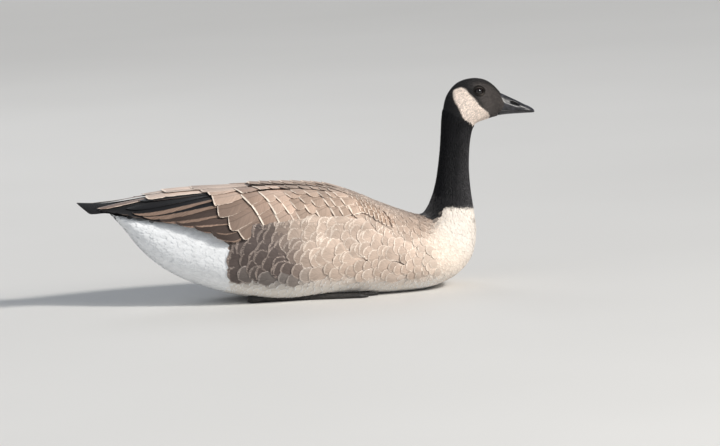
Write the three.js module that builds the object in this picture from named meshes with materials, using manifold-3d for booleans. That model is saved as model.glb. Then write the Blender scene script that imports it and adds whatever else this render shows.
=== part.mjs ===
// A life-size Canada goose that sits on its belly with the wings folded, the feet tucked under and the neck up.
// Millimetres, +X towards the bill, +Y to the bird's left, +Z up, with the floor at z = 0.
import * as THREE from "three";
import { mergeVertices } from "three/addons/utils/BufferGeometryUtils.js";
import Module from "manifold-3d";

const wasm = await Module();
wasm.setup();

// Driving sizes of the bird.
const BODY_HALF = 97; // half of the body's width at the flanks
const NECK_HALF = 21.5; // half of the neck's width at its middle
const HEAD_HALF = 21.5; // half of the head's width at the cheeks
const BILL_HALF = 12.5; // half of the bill's width at its root
const GAP = 0.32; // between two pieces that touch
const FLOOR_SINK = 3; // how far the belly's round would pass below the floor, which presses it flat
const EYE_RADIUS = 6.6;
const VANE_THICK = 0.9;
const BED_SINK = 2.2; // how far the wing's body lies below its feathers' sheet
const TAIL_ROOM = 1.6; // from the tail's arch up to the wing, past the tail's vanes
const FLANK_LOBE = 13; // how far the flank's feathers swell over the wing's lower edge
const FLANK_LEVEL = 0.78; // where that swell is, as a share of the body's height

const AROUND = 30; // points round the body, neck and head
const BETWEEN = 2; // rings from one rib to the next on the body

// Ribs of the skin from under the tail to the root of the bill. Each is a flat oval section: the side view has its
// lower and upper ends, and half is its half width, as a share of the body's, neck's or head's.
const body = (share) => share * BODY_HALF;
const neck = (share) => share * NECK_HALF;
const skull = (share) => share * HEAD_HALF;
const RIBS = [
  { at: "tail_coverts", low: [-279, 131.5], high: [-281, 134.5], half: body(0.25) },
  { at: "under_tail", low: [-262, 110], high: [-263, 136], half: body(0.34) },
  { at: "vent", low: [-238, 77], high: [-238, 139], half: body(0.46) },
  { at: "rump", low: [-205, 48], high: [-204, 142], half: body(0.6) },
  { at: "loin", low: [-163, 26], high: [-162, 145], half: body(0.75) },
  { at: "hip", low: [-112, 8.5], high: [-112, 147], half: body(0.89) },
  { at: "belly_rear", low: [-56, -FLOOR_SINK], high: [-56, 150], half: body(0.975) },
  { at: "belly", low: [4, -FLOOR_SINK], high: [2, 154], half: body(1) },
  { at: "belly_front", low: [64, -FLOOR_SINK], high: [57, 143.5], half: body(0.97) },
  { at: "keel", low: [120, -FLOOR_SINK], high: [98, 124.5], half: body(0.915) },
  { at: "crop", low: [167, 2], high: [130, 110.5], half: body(0.84) },
  { at: "breast_low", low: [202, 17], high: [149, 103], half: body(0.74) },
  { at: "breast", low: [224, 40], high: [159, 101.5], half: body(0.62) },
  { at: "breast_top", low: [233, 73], high: [166, 107.5], half: body(0.49) },
  { at: "neck_root", low: [231.8, 104], high: [174.5, 124], half: neck(1.7) },
  { at: "neck_low", low: [229, 134], high: [181.5, 146], half: neck(1.3) },
  { at: "neck_mid", low: [228, 162], high: [186, 168], half: neck(1.07) },
  { at: "neck_high", low: [229.5, 186], high: [189.5, 190], half: neck(0.98) },
  { at: "throat", low: [232.5, 206], high: [192, 213], half: neck(0.96) },
  { at: "nape", low: [236.5, 219], high: [195, 240], half: skull(0.97) },
  { at: "back_head", low: [241, 225], high: [202.5, 266], half: skull(1) },
  { at: "cheek", low: [247.5, 228], high: [218, 283], half: skull(1) },
  { at: "crown", low: [255, 230], high: [239, 288.5], half: skull(0.96) },
  { at: "brow", low: [262, 231.8], high: [257, 285.4], half: skull(0.85) },
  { at: "lores", low: [268.5, 233.2], high: [269.5, 276.6], half: skull(0.71) },
  { at: "bill_root", low: [273.5, 234.2], high: [277.4, 266.2], half: BILL_HALF },
];

const ribIndex = (name) => RIBS.findIndex((rib) => rib.at === name);
const mix = THREE.MathUtils.lerp;
const ramp = (x, from, to) => THREE.MathUtils.smoothstep(x, from, to);

// Small repeatable differences from one feather to the next.
function seeded(seed) {
  let state = seed;
  return () => {
    state = (state * 1664525 + 1013904223) % 4294967296;
    return state / 4294967296;
  };
}

// Booleans on closed geometries.
function solidOf(geometry) {
  const bare = geometry.clone();
  bare.deleteAttribute("normal");
  bare.deleteAttribute("uv");
  const merged = mergeVertices(bare, 1e-4);
  const positions = merged.attributes.position.array;
  const index = new Uint32Array(merged.index.array);
  if (signedVolume(positions, index) < 0) index.reverse();
  return new wasm.Manifold(new wasm.Mesh({ numProp: 3, vertProperties: positions, triVerts: index }));
}

// Below zero where the faces point inwards.
function signedVolume(positions, index) {
  const corner = (i) => new THREE.Vector3().fromArray(positions, 3 * index[i]);
  let sum = 0;
  for (let i = 0; i < index.length; i += 3) sum += corner(i).dot(corner(i + 1).cross(corner(i + 2)));
  return sum / 6;
}

function geometryOf(solid) {
  const mesh = solid.getMesh();
  return new THREE.BufferGeometry()
    .setAttribute("position", new THREE.BufferAttribute(mesh.vertProperties, 3))
    .setIndex(new THREE.BufferAttribute(mesh.triVerts, 1));
}

function largest(solid) {
  const parts = solid.decompose();
  return parts.reduce((best, part) => (part.volume() > best.volume() ? part : best));
}

function joined(solids) {
  return solids.reduce((sum, solid) => sum.add(solid));
}

// A closed shell over a stack of rings, each a list of points in the same turn, with flat ends.
function ringStack(rings) {
  const count = rings[0].length;
  const positions = [];
  const index = [];
  for (const ring of rings) for (const p of ring) positions.push(p.x, p.y, p.z);
  for (let i = 0; i + 1 < rings.length; i++)
    for (let j = 0; j < count; j++) {
      const a = i * count + j;
      const b = i * count + ((j + 1) % count);
      if (2 * j < count) index.push(a, a + count, b, b, a + count, b + count);
      else index.push(a, a + count, b + count, a, b + count, b);
    }
  for (const [start, forward] of [
    [0, false],
    [(rings.length - 1) * count, true],
  ]) {
    const centre = new THREE.Vector3();
    for (let j = 0; j < count; j++) centre.add(new THREE.Vector3().fromArray(positions, 3 * (start + j)));
    centre.divideScalar(count);
    const hub = positions.length / 3;
    positions.push(centre.x, centre.y, centre.z);
    for (let j = 0; j < count; j++) {
      const a = start + j;
      const b = start + ((j + 1) % count);
      if (forward) index.push(b, a, hub);
      else index.push(a, b, hub);
    }
  }
  return new THREE.BufferGeometry()
    .setAttribute("position", new THREE.Float32BufferAttribute(positions, 3))
    .setIndex(index);
}

function box(low, high) {
  const size = high.map((h, k) => h - low[k]);
  const middle = high.map((h, k) => (h + low[k]) / 2);
  return solidOf(new THREE.BoxGeometry(...size).translate(...middle));
}

function ellipsoid(centre, radii, wide = 20, high = 14) {
  return solidOf(new THREE.SphereGeometry(1, wide, high).scale(...radii).translate(...centre));
}

// The skin as a surface over t, from 0 at the tail to 1 at the bill, and turn, from 0 below round by the bird's
// right.
const ribCurve = (end) =>
  new THREE.CatmullRomCurve3(RIBS.map((rib) => new THREE.Vector3(rib[end][0], rib.half, rib[end][1])));
const lowCurve = ribCurve("low");
const highCurve = ribCurve("high");
const ribAt = (name) => ribIndex(name) / (RIBS.length - 1);

// How square a section is, and how high its widest level lies: flat-bellied on the body, round on the neck.
function sectionShape(t) {
  const trunk = 1 - ramp(t, ribAt("breast"), ribAt("neck_low"));
  const face = ramp(t, ribAt("nape"), ribAt("cheek"));
  const rear = 1 - ramp(t, ribAt("tail_coverts"), ribAt("rump"));
  const winged = ramp(t, ribAt("rump"), ribAt("hip")) * (1 - ramp(t, ribAt("belly"), ribAt("keel")));
  const flankRear = ramp(t, ribAt("loin") + 0.015, ribAt("hip") + 0.004);
  const flankFront = 1 - ramp(t, ribAt("belly_front"), ribAt("keel"));
  return {
    below: 2 + 0.45 * trunk * (1 - rear) + 0.1 * face,
    above: 2 + 0.3 * trunk * (1 - rear) + 0.15 * face - 0.55 * winged,
    level: 0.5 - 0.03 * trunk * (1 - rear) - 0.07 * face + 0.1 * rear,
    flank: flankRear * flankFront,
  };
}

function skinPoint(t, turn, out = 0) {
  const low = lowCurve.getPoint(t);
  const high = highCurve.getPoint(t);
  const { below, above, level, flank } = sectionShape(t);
  const up = -Math.cos(turn);
  const side = Math.sin(turn);
  const power = 2 / (up < 0 ? below : above);
  const rise = 0.5 + 0.5 * Math.sign(up) * Math.abs(up) ** power;
  const share = rise + (level - 0.5) * 4 * rise * (1 - rise);
  const lobe = FLANK_LOBE * flank * Math.exp(-(((share - FLANK_LEVEL) / 0.1) ** 2));
  const y = -Math.sign(side) * (Math.abs(side) ** power * low.y + lobe);
  const point = new THREE.Vector3(mix(low.x, high.x, share), y, mix(low.z, high.z, share));
  return out ? point.addScaledVector(skinNormal(t, turn), out) : point;
}

function skinNormal(t, turn) {
  const step = 2e-3;
  const along = skinPoint(Math.min(1, t + step), turn).sub(skinPoint(Math.max(0, t - step), turn));
  const round = skinPoint(t, turn + 4 * step).sub(skinPoint(t, turn - 4 * step));
  return along.cross(round).normalize();
}

function skinRing(t, out) {
  return Array.from({ length: AROUND }, (_, j) => skinPoint(t, (2 * Math.PI * j) / AROUND, out));
}

function skinSolid(out = 0) {
  const steps = (RIBS.length - 1) * BETWEEN;
  return solidOf(ringStack(Array.from({ length: steps + 1 }, (_, i) => skinRing(i / steps, out))));
}

// A thin slab across the skin at a rib, which parts the pieces on its two sides.
function ribSlab(name, thick = GAP) {
  const t = ribAt(name);
  const low = lowCurve.getPoint(t);
  const high = highCurve.getPoint(t);
  const up = new THREE.Vector3(high.x - low.x, 0, high.z - low.z).normalize();
  const ahead = new THREE.Vector3(0, 1, 0).cross(up);
  const middle = new THREE.Vector3((high.x + low.x) / 2, 0, (high.z + low.z) / 2);
  const place = new THREE.Matrix4().makeBasis(ahead, new THREE.Vector3(0, 1, 0), up).setPosition(middle);
  return solidOf(new THREE.BoxGeometry(thick, 4 * BODY_HALF, 4 * BODY_HALF).applyMatrix4(place));
}

const floorBlock = box([-500, -500, -100], [500, 500, 0]);
const above = (solid) => solid.subtract(floorBlock);
const mirrored = (solid) => solid.mirror([0, 1, 0]);

const whole = above(skinSolid());
const grown = skinSolid(GAP);
const parted = whole.subtract(joined([ribSlab("neck_root"), ribSlab("nape")])).decompose();
const [torsoSkin, neckSkin, headSkin] = parted.sort((a, b) => a.boundingBox().min[2] - b.boundingBox().min[2]);

// The folded wing on the bird's left, as a sheet over x and share: 0 at its upper edge by the back's middle, 1 at
// its lower edge. Each station has the sheet's upper edge, the corner that its section bends round and its lower
// edge, as [y, z], and how deep the wing's body is there.
const WING = [
  { x: 112, upper: [60, 107], crest: [79, 105], lower: [79, 92], deep: 16 },
  { x: 70, upper: [46, 134.5], crest: [86, 135], lower: [82, 100], deep: 17 },
  { x: 30, upper: [24, 148.5], crest: [90, 150], lower: [82, 98], deep: 18 },
  { x: -10, upper: [8, 155.5], crest: [92, 157.5], lower: [81, 97], deep: 19 },
  { x: -50, upper: [0.3, 158.5], crest: [92, 161], lower: [81, 97], deep: 20 },
  { x: -90, upper: [0.3, 159], crest: [89, 164], lower: [79, 98], deep: 21 },
  { x: -120, upper: [0.3, 158.8], crest: [79, 165], lower: [87, 92], deep: 21 },
  { x: -147, upper: [0.3, 158.5], crest: [68, 164], lower: [80, 106], deep: 20 },
  { x: -170, upper: [0.3, 158], crest: [60, 162.5], lower: [72, 115], deep: 18 },
  { x: -195, upper: [0.3, 157], crest: [52, 160.5], lower: [61, 122], deep: 14 },
  { x: -232, upper: [0.6, 153.5], crest: [42, 155], lower: [46, 130], deep: 7 },
  { x: -267, upper: [9, 149.5], crest: [32, 149], lower: [39, 136], deep: 3.6 },
  { x: -298, upper: [29, 146], crest: [36, 145], lower: [38, 140], deep: 2 },
];
const wingCurves = ["upper", "crest", "lower"].map(
  (edge) => new THREE.CatmullRomCurve3(WING.map((w) => new THREE.Vector3(w.x, ...w[edge]))),
);
const wingDeep = new THREE.CatmullRomCurve3(WING.map((w) => new THREE.Vector3(w.x, w.deep, 0)));

// Where x lies along the stations, from 0 to 1.
function wingSpan(x) {
  const last = WING.length - 1;
  let i = 0;
  while (i < last - 1 && x < WING[i + 1].x) i++;
  return (i + (WING[i].x - x) / (WING[i].x - WING[i + 1].x)) / last;
}

function wingPoint(x, share) {
  const span = THREE.MathUtils.clamp(wingSpan(x), 0, 1);
  const [upper, crest, lower] = wingCurves.map((curve) => curve.getPoint(span));
  const keep = 1 - share;
  return new THREE.Vector3(0, 0, 0)
    .addScaledVector(upper, keep * keep)
    .addScaledVector(crest, 2 * keep * share)
    .addScaledVector(lower, share * share)
    .setX(x);
}

function wingFrame(x, share) {
  const step = 0.5;
  const along = wingPoint(x + step, share).sub(wingPoint(x - step, share)).divideScalar(2 * step);
  const down = wingPoint(x, share + 0.005).sub(wingPoint(x, share - 0.005)).divideScalar(0.01);
  return { along, down, out: along.clone().cross(down).normalize() };
}

// The wing's body: a thick sheet below the feathers, closed by an inner sheet that is drawn in towards the bird.
function wingBody() {
  const steps = 6;
  const stations = [];
  for (let i = 0; i + 1 < WING.length; i++) stations.push(WING[i].x, (WING[i].x + WING[i + 1].x) / 2);
  stations.push(WING[WING.length - 1].x);
  const rings = stations.map((x) => {
    const deep = wingDeep.getPoint(wingSpan(x)).y;
    const sunk = Math.min(BED_SINK, 0.3 * deep);
    const outer = Array.from({ length: steps + 1 }, (_, i) =>
      wingPoint(x, i / steps).addScaledVector(wingFrame(x, i / steps).out, -sunk).setX(x),
    );
    const inner = outer.map((p, i) => {
      const share = i / steps;
      const inward = new THREE.Vector3(0, -share, -(1 - 0.75 * share ** 3)).normalize();
      return p.clone().addScaledVector(inward, deep * (1 - 0.35 * share)).setX(x);
    });
    return [...outer, ...inner.reverse()];
  });
  return solidOf(ringStack(rings));
}

// Half widths of a vane from its root to its tip, as [share of its length, share of its half width].
const ROUND_TIP = [[0, 0.75], [0.55, 1], [0.86, 0.84], [1, 0.3]];
const SQUARE_TIP = [[0, 0.7], [0.93, 1], [1, 0.66]];
const LONG_TIP = [[0, 0.8], [0.6, 0.95], [0.88, 0.68], [1, 0.15]];

// A feather's vane on a sheet, from its root to its tip, both given as the sheet's own two coordinates. Its edge
// away from the back's middle is raised by tilt and its other edge lowered, so that each lies over the next. Its
// lower face is sunk into the body below it, or follows the upper face at VANE_THICK where it is free.
function vane(sheet, form) {
  const { root, tip, half, lift = [0.3, 2.9], tilt = 0.9, shape = ROUND_TIP, ridge = false, free = false } = form;
  const rings = shape.map(([along, wide]) => {
    const a = mix(root[0], tip[0], along);
    const b = mix(root[1], tip[1], along);
    const here = sheet.frame(a, b);
    const ahead = here.along.clone().multiplyScalar(tip[0] - root[0]);
    ahead.addScaledVector(here.down, tip[1] - root[1]).normalize();
    const across = ahead.cross(here.out).normalize();
    if (across.dot(here.down) < 0) across.negate();
    const aa = here.along.dot(here.along);
    const ab = here.along.dot(here.down);
    const bb = here.down.dot(here.down);
    const pa = across.dot(here.along);
    const pb = across.dot(here.down);
    const det = aa * bb - ab * ab;
    const stepA = (pa * bb - pb * ab) / det;
    const stepB = (pb * aa - pa * ab) / det;
    const top = [];
    const low = [];
    for (const side of ridge ? [-1, 0, 1] : [-1, 1]) {
      const reach = side * half * wide;
      const point = sheet.point(a + stepA * reach, b + stepB * reach);
      const height = mix(lift[0], lift[1], along) + side * tilt + (side ? 0 : 0.25);
      top.push(point.clone().addScaledVector(here.out, height));
      low.push(point.clone().addScaledVector(here.out, free ? height - VANE_THICK : -BED_SINK - 1));
    }
    return [...top, ...low.reverse()];
  });
  return solidOf(ringStack(rings));
}

// A tier of vanes whose tips stand on a line over the sheet. Each reaches forward by its length, and its root is
// nearer the back's middle than its tip by lean.
function tier(sheet, tips, { reach, lean, half, jitter = 0.05, seed = 1, ...rest }) {
  const random = seeded(seed);
  return tips.map(([a, b, scale = 1]) => {
    const length = reach * scale * (1 + jitter * (random() - 0.5));
    const shift = 2 * jitter * (random() - 0.5);
    return vane(sheet, {
      root: [a + length, b - lean * (b + 0.1) + 0.1 * shift],
      tip: [a + 30 * shift, b],
      half: half * (1 + shift),
      ...rest,
    });
  });
}

const wingSheet = { point: wingPoint, frame: wingFrame };

// The folded wing's feathers, from the lowest tier to the one on top. Tips are [x, share].
function wingFeathers() {
  const primaries = [
    [-297, 0.5],
    [-286, 0.7],
    [-270, 0.86],
  ];
  const secondaries = [
    [[-146, 0.45], [-248, 0.97]],
    [[-141, 0.55], [-229, 0.97]],
    [[-135, 0.64], [-209, 0.97]],
    [[-129, 0.72], [-188, 0.97]],
    [[-124, 0.79], [-166, 0.97]],
    [[-118, 0.86], [-144, 0.97]],
  ];
  const tertials = [
    { root: [-150, 0.22], tip: [-294, 0.36], half: 9, lift: [0, 2.2], shape: LONG_TIP },
    { root: [-150, 0.06], tip: [-258, 0.14], half: 12, lift: [0, 2], shape: SQUARE_TIP },
    { root: [-118, 0.34], tip: [-229, 0.42], half: 13.5, lift: [0.6, 3.4], shape: SQUARE_TIP },
    { root: [-118, 0.1], tip: [-212, 0.12], half: 15, lift: [0.8, 3.8], shape: SQUARE_TIP },
  ];
  const greater = [[-154, 0.13], [-151, 0.3], [-144, 0.47], [-136, 0.62], [-125, 0.75], [-112, 0.87]];
  const median = [[-111, 0.17], [-106, 0.33], [-101, 0.49], [-91, 0.63], [-79, 0.76]];
  const lesser = [[-82, 0.1], [-79, 0.25], [-74, 0.4], [-66, 0.55], [-54, 0.7]];
  const scapular = [[-46, 0.13], [-43, 0.3], [-37, 0.47], [-27, 0.63]];
  const shoulder = [[-6, 0.17], [-3, 0.34], [3, 0.5], [12, 0.64]];
  const front = [[34, 0.2], [37, 0.38], [45, 0.55]];
  const fore = [[70, 0.32]];
  return [
    ...tier(wingSheet, primaries, {
      reach: 92,
      lean: 0.12,
      half: 8,
      lift: [-1, 1],
      tilt: 0.5,
      shape: LONG_TIP,
      seed: 3,
    }),
    ...secondaries.map(([from, tip]) =>
      vane(wingSheet, {
        root: [from[0] + 14, from[1] - 0.06],
        tip,
        half: 9.5,
        lift: [0.4, 1.2],
        tilt: 1.2,
        shape: LONG_TIP,
      }),
    ),
    ...tertials.map((feather) => vane(wingSheet, feather)),
    ...tier(wingSheet, greater, { reach: 56, lean: 0.14, half: 12.5, seed: 5 }),
    ...tier(wingSheet, median, { reach: 46, lean: 0.14, half: 13.5, seed: 7 }),
    ...tier(wingSheet, lesser, { reach: 44, lean: 0.12, half: 14, seed: 9 }),
    ...tier(wingSheet, scapular, { reach: 46, lean: 0.12, half: 15, seed: 11 }),
    ...tier(wingSheet, shoulder, { reach: 50, lean: 0.12, half: 15.5, seed: 13 }),
    ...tier(wingSheet, front, { reach: 48, lean: 0.1, half: 16, seed: 15 }),
    ...tier(wingSheet, fore, { reach: 36, lean: 0.08, half: 17, seed: 17 }),
  ];
}

// The tail's arch: the height of its upper face, and the half width of the folded fan, over x.
const TAIL = [
  { x: -214, top: 142, half: 22 },
  { x: -245, top: 143.5, half: 29 },
  { x: -275, top: 145.3, half: 35 },
  { x: -305, top: 147.6, half: 40 },
  { x: -326, top: 149.3, half: 42 },
];
const TAIL_DROP = 9; // how much lower the arch is at TAIL_DROP_AT from its middle
const TAIL_DROP_AT = 36;
function tailRow(x) {
  let i = 0;
  while (i < TAIL.length - 2 && x < TAIL[i + 1].x) i++;
  const share = (TAIL[i].x - x) / (TAIL[i].x - TAIL[i + 1].x);
  return { top: mix(TAIL[i].top, TAIL[i + 1].top, share), half: mix(TAIL[i].half, TAIL[i + 1].half, share) };
}
const tailTop = (x, y) => tailRow(x).top - TAIL_DROP * (y / TAIL_DROP_AT) ** 2;

function tailBody(out = 0, xs = [-214, -230, -245, -260, -275, -290, -306, -318, -325.5]) {
  const steps = 8;
  const rings = xs.map((x) => {
    const half = tailRow(x).half + out;
    const deep = mix(7, 1.6, ramp(-x, 250, 306));
    const top = Array.from({ length: steps + 1 }, (_, i) => {
      const y = half * ((2 * i) / steps - 1);
      const ahead = x < -312 ? 9 * (y / half) ** 2 : 0;
      return new THREE.Vector3(x + ahead, y, tailTop(x, y) + out);
    });
    const low = top.map((p) => new THREE.Vector3(p.x, p.y * 0.97, p.z - deep - 2 * out));
    return [...top, ...low.reverse()];
  });
  return solidOf(ringStack(rings));
}

const tailSheet = {
  point: (x, y) => new THREE.Vector3(x, y, tailTop(x, y)),
  frame: (x, y) => {
    const along = new THREE.Vector3(2, 0, tailTop(x + 1, y) - tailTop(x - 1, y)).divideScalar(2);
    const down = new THREE.Vector3(0, 2, tailTop(x, y + 1) - tailTop(x, y - 1)).divideScalar(2);
    return { along, down, out: along.clone().cross(down).normalize() };
  },
};

// The tail's main feathers, from the outermost pair to the middle pair that lies over them.
const TAIL_PAIRS = 7;
function tailFeathers() {
  const feathers = [];
  for (let i = TAIL_PAIRS - 1; i >= 0; i--) {
    const outward = (i + 0.5) / TAIL_PAIRS;
    const left = vane(tailSheet, {
      root: [-232, 18 * outward],
      tip: [-326.2 + 11 * outward ** 2, 38 * outward],
      half: 10,
      lift: [-0.5, 0.6],
      tilt: 0.55,
      shape: SQUARE_TIP,
      free: true,
    });
    feathers.push(left, mirrored(left));
  }
  return feathers;
}

// Rings between a lower and an upper point in the side view, for the bill.
function billStack(rows, around = 14, below = 2, above = 2) {
  const rings = rows.map(({ low, high, half }) =>
    Array.from({ length: around }, (_, j) => {
      const turn = (2 * Math.PI * j) / around;
      const up = -Math.cos(turn);
      const side = Math.sin(turn);
      const power = 2 / (up < 0 ? below : above);
      const rise = 0.5 + 0.5 * Math.sign(up) * Math.abs(up) ** power;
      const y = -Math.sign(side) * Math.abs(side) ** power * half;
      return new THREE.Vector3(mix(low[0], high[0], rise), y, mix(low[1], high[1], rise));
    }),
  );
  return solidOf(ringStack(rings));
}

// Both halves of the bill fill an arched outline that a thin cut along the mouth parts.
const BILL = [
  { low: [273.9, 234.3], high: [277.8, 266.1], half: BILL_HALF },
  { low: [281, 234.8], high: [283.8, 263], half: 0.98 * BILL_HALF },
  { low: [289, 235.1], high: [291.5, 258.9], half: 0.93 * BILL_HALF },
  { low: [298, 235.2], high: [300.5, 254.1], half: 0.87 * BILL_HALF },
  { low: [307, 235.2], high: [309.5, 249], half: 0.82 * BILL_HALF },
  { low: [314, 235.1], high: [316.5, 245], half: 0.75 * BILL_HALF },
  { low: [319.5, 235], high: [321.5, 242], half: 0.62 * BILL_HALF },
  { low: [323.5, 235], high: [324.5, 239.6], half: 0.42 * BILL_HALF },
  { low: [325.9, 235.2], high: [326.2, 237.4], half: 0.16 * BILL_HALF },
];
const MOUTH = [
  [270, 242.4],
  [276, 242],
  [286, 241.1],
  [300, 239.8],
  [312, 238.4],
  [321, 236.9],
  [330, 234.9],
];
const NOSTRIL = { x: 296.6, y: 9.5, z: 249.9, radii: [5.2, 2.6, 1.9] };

// A thin curved slab along the mouth line, as wide as asked.
function mouthCut(half, thick, from = 0) {
  const rows = MOUTH.slice(from);
  const rings = rows.map(([x, z]) => [
    new THREE.Vector3(x, -half, z - thick / 2),
    new THREE.Vector3(x, -half, z + thick / 2),
    new THREE.Vector3(x, half, z + thick / 2),
    new THREE.Vector3(x, half, z - thick / 2),
  ]);
  return solidOf(ringStack(rings));
}

const billWhole = billStack(BILL, 18, 2.3, 2.1);
const nostrils = joined(
  [-1, 1].map((side) => ellipsoid([NOSTRIL.x, side * NOSTRIL.y, NOSTRIL.z], NOSTRIL.radii, 12, 8)),
);
const [billLower, billUpper] = billWhole
  .subtract(mouthCut(40, GAP))
  .decompose()
  .sort((a, b) => a.boundingBox().max[2] - b.boundingBox().max[2]);

// The eye sits sunk in the head, and looks along EYE_AXIS out of a ring of lid that stands a little proud.
const EYE = new THREE.Vector3(245.2, 13.1, 270.4);
const EYE_AXIS = new THREE.Vector3(0.15, 0.94, 0.29).normalize();
const LID = { radius: 5.1, thick: 0.85, out: 4.6, long: 1.1, high: 0.94 };
function eyeBall(out = 0) {
  const radius = EYE_RADIUS + out;
  return ellipsoid(EYE.toArray(), [radius, radius, radius], 14, 9);
}
function lidRing() {
  const ring = new THREE.TorusGeometry(LID.radius, LID.thick, 6, 16).scale(LID.long, LID.high, 1);
  ring.applyQuaternion(new THREE.Quaternion().setFromUnitVectors(new THREE.Vector3(0, 0, 1), EYE_AXIS));
  const middle = EYE.clone().addScaledVector(EYE_AXIS, LID.out);
  return solidOf(ring.translate(...middle.toArray()));
}
const bothSides = (solid) => solid.add(mirrored(solid));

// A tapering limb along a path of [x, y, z, radius].
function limb(path, out = 0, around = 8) {
  const points = path.map(([x, y, z]) => new THREE.Vector3(x, y, z));
  const rings = points.map((p, i) => {
    const after = points[Math.min(i + 1, points.length - 1)];
    const ahead = after.clone().sub(points[Math.max(i - 1, 0)]).normalize();
    const side = new THREE.Vector3(0, 0, 1).cross(ahead).normalize();
    const up = ahead.clone().cross(side);
    const radius = path[i][3] + out;
    const centre = p.clone();
    if (i === 0) centre.addScaledVector(ahead, -out);
    if (i === points.length - 1) centre.addScaledVector(ahead, out);
    return Array.from({ length: around }, (_, j) => {
      const turn = (-2 * Math.PI * j) / around;
      return centre
        .clone()
        .addScaledVector(side, radius * Math.sin(turn))
        .addScaledVector(up, -radius * Math.cos(turn));
    });
  });
  return solidOf(ringStack(rings));
}

// The left leg lies along the floor from the heel to the root of the toes.
const SHANK = [
  [-101, 45, 5.5, 3.5],
  [-93, 46, 6, 6.8],
  [-78, 47.4, 5.6, 5.4],
  [-30, 52, 5.2, 5],
  [-13.4, 53.5, 5, 6],
];
const TOES = [
  [
    [-13, 53, 4.6, 5.6],
    [22, 48, 4, 4.4],
    [50, 43.4, 3.4, 3.4],
    [61, 41.8, 1.8, 1],
  ],
  [
    [-13, 54, 4.6, 5.6],
    [32, 57.2, 4.2, 4.5],
    [69, 59.7, 3.5, 3.4],
    [81, 60.4, 1.8, 1],
  ],
  [
    [-13, 55, 4.6, 5.6],
    [26, 67, 4, 4.4],
    [54, 74.3, 3.4, 3.4],
    [65, 76.6, 1.8, 1],
  ],
  [
    [-9, 51, 4.2, 3.4],
    [-20, 38, 2, 1],
  ],
];
const leg = (out = 0) => limb(SHANK, out);

// The web between the three front toes is a thin plate with its front edge drawn back between them.
function web(out = 0) {
  const outline = [
    [-10, 50],
    [50, 43],
    [47, 50],
    [66, 59],
    [54, 67],
    [54, 74],
    [-10, 57],
  ];
  const shape = new THREE.Shape(outline.map(([x, y]) => new THREE.Vector2(x, y)));
  const plate = new THREE.ExtrudeGeometry(shape, { depth: 2.2 + out, bevelEnabled: false });
  return solidOf(plate.translate(0, 0, 1));
}
const foot = (out = 0) => joined([...TOES.map((toe) => limb(toe, out)), web(out)]);

// Pieces of the bird.
const feet = [leg(GAP), foot(GAP)].map(bothSides);
const torso = largest(torsoSkin.subtract(joined(feet)));
const legLeft = largest(above(leg()));
const footLeft = largest(above(foot()).subtract(limb(SHANK, GAP)));
const tailWhole = joined([tailBody(0, [-214, -230, -245, -260, -275, -290, -302]), ...tailFeathers()]);
const tail = largest(tailWhole.subtract(grown));
const leftOfMiddle = box([-400, 0.2, -10], [400, 200, 400]);
const tailRoom = tailBody(TAIL_ROOM, [-205, -230, -245, -260, -275, -290, -310]);
const wingWhole = joined([wingBody(), ...wingFeathers()]).subtract(grown);
const wingLeft = largest(wingWhole.subtract(tailRoom).intersect(leftOfMiddle));
const headWhole = headSkin.add(bothSides(lidRing())).subtract(bothSides(eyeBall(GAP)));
const head = largest(headWhole.subtract(mouthCut(40, 0.7)));

const group = new THREE.Group();
function addMesh(name, solid, colour, roughness) {
  const material = new THREE.MeshStandardMaterial({ color: colour, roughness, metalness: 0 });
  const mesh = new THREE.Mesh(geometryOf(solid), material);
  mesh.name = name;
  group.add(mesh);
}
addMesh("torso", torso, 0xb9a691, 0.9);
addMesh("neck", neckSkin, 0x131314, 0.85);
addMesh("head", head, 0x131314, 0.85);
addMesh("bill_upper", billUpper.subtract(nostrils), 0x17181a, 0.35);
addMesh("bill_lower", billLower, 0x17181a, 0.35);
addMesh("eye_left", eyeBall(), 0x1a0f0a, 0.08);
addMesh("eye_right", mirrored(eyeBall()), 0x1a0f0a, 0.08);
addMesh("wing_left", wingLeft, 0x7d6653, 0.85);
addMesh("wing_right", mirrored(wingLeft), 0x7d6653, 0.85);
addMesh("tail", tail, 0x1b1918, 0.8);
addMesh("leg_left", legLeft, 0x1c1c1a, 0.6);
addMesh("leg_right", mirrored(legLeft), 0x1c1c1a, 0.6);
addMesh("foot_left", footLeft, 0x1c1c1a, 0.6);
addMesh("foot_right", mirrored(footLeft), 0x1c1c1a, 0.6);

export default group;
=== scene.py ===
"""Looks of the life-size Canada goose: skin, plumage, wings, tail, bill, eyes, legs and feet.

Shapes are worked out in millimetres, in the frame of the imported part, and made into meshes in metres.
"""

import logging
import math
from dataclasses import dataclass, field
from enum import Enum
from typing import Protocol, Sequence

import bpy
import numpy as np
from mathutils import Matrix, Vector

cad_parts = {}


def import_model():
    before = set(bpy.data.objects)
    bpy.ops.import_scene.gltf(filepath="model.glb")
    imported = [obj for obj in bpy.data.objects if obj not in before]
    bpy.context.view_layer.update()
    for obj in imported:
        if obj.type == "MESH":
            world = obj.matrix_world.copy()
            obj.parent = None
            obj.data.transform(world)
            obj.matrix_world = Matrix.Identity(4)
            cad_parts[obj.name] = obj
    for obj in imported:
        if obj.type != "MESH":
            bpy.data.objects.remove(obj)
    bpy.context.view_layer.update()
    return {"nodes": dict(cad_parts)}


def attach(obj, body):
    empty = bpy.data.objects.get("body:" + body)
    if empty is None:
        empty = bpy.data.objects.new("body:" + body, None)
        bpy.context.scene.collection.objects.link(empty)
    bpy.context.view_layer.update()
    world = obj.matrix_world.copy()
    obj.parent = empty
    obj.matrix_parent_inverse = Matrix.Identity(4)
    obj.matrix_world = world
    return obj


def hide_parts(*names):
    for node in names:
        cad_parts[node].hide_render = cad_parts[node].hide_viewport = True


MM = 0.001
BODY = "root"
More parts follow.
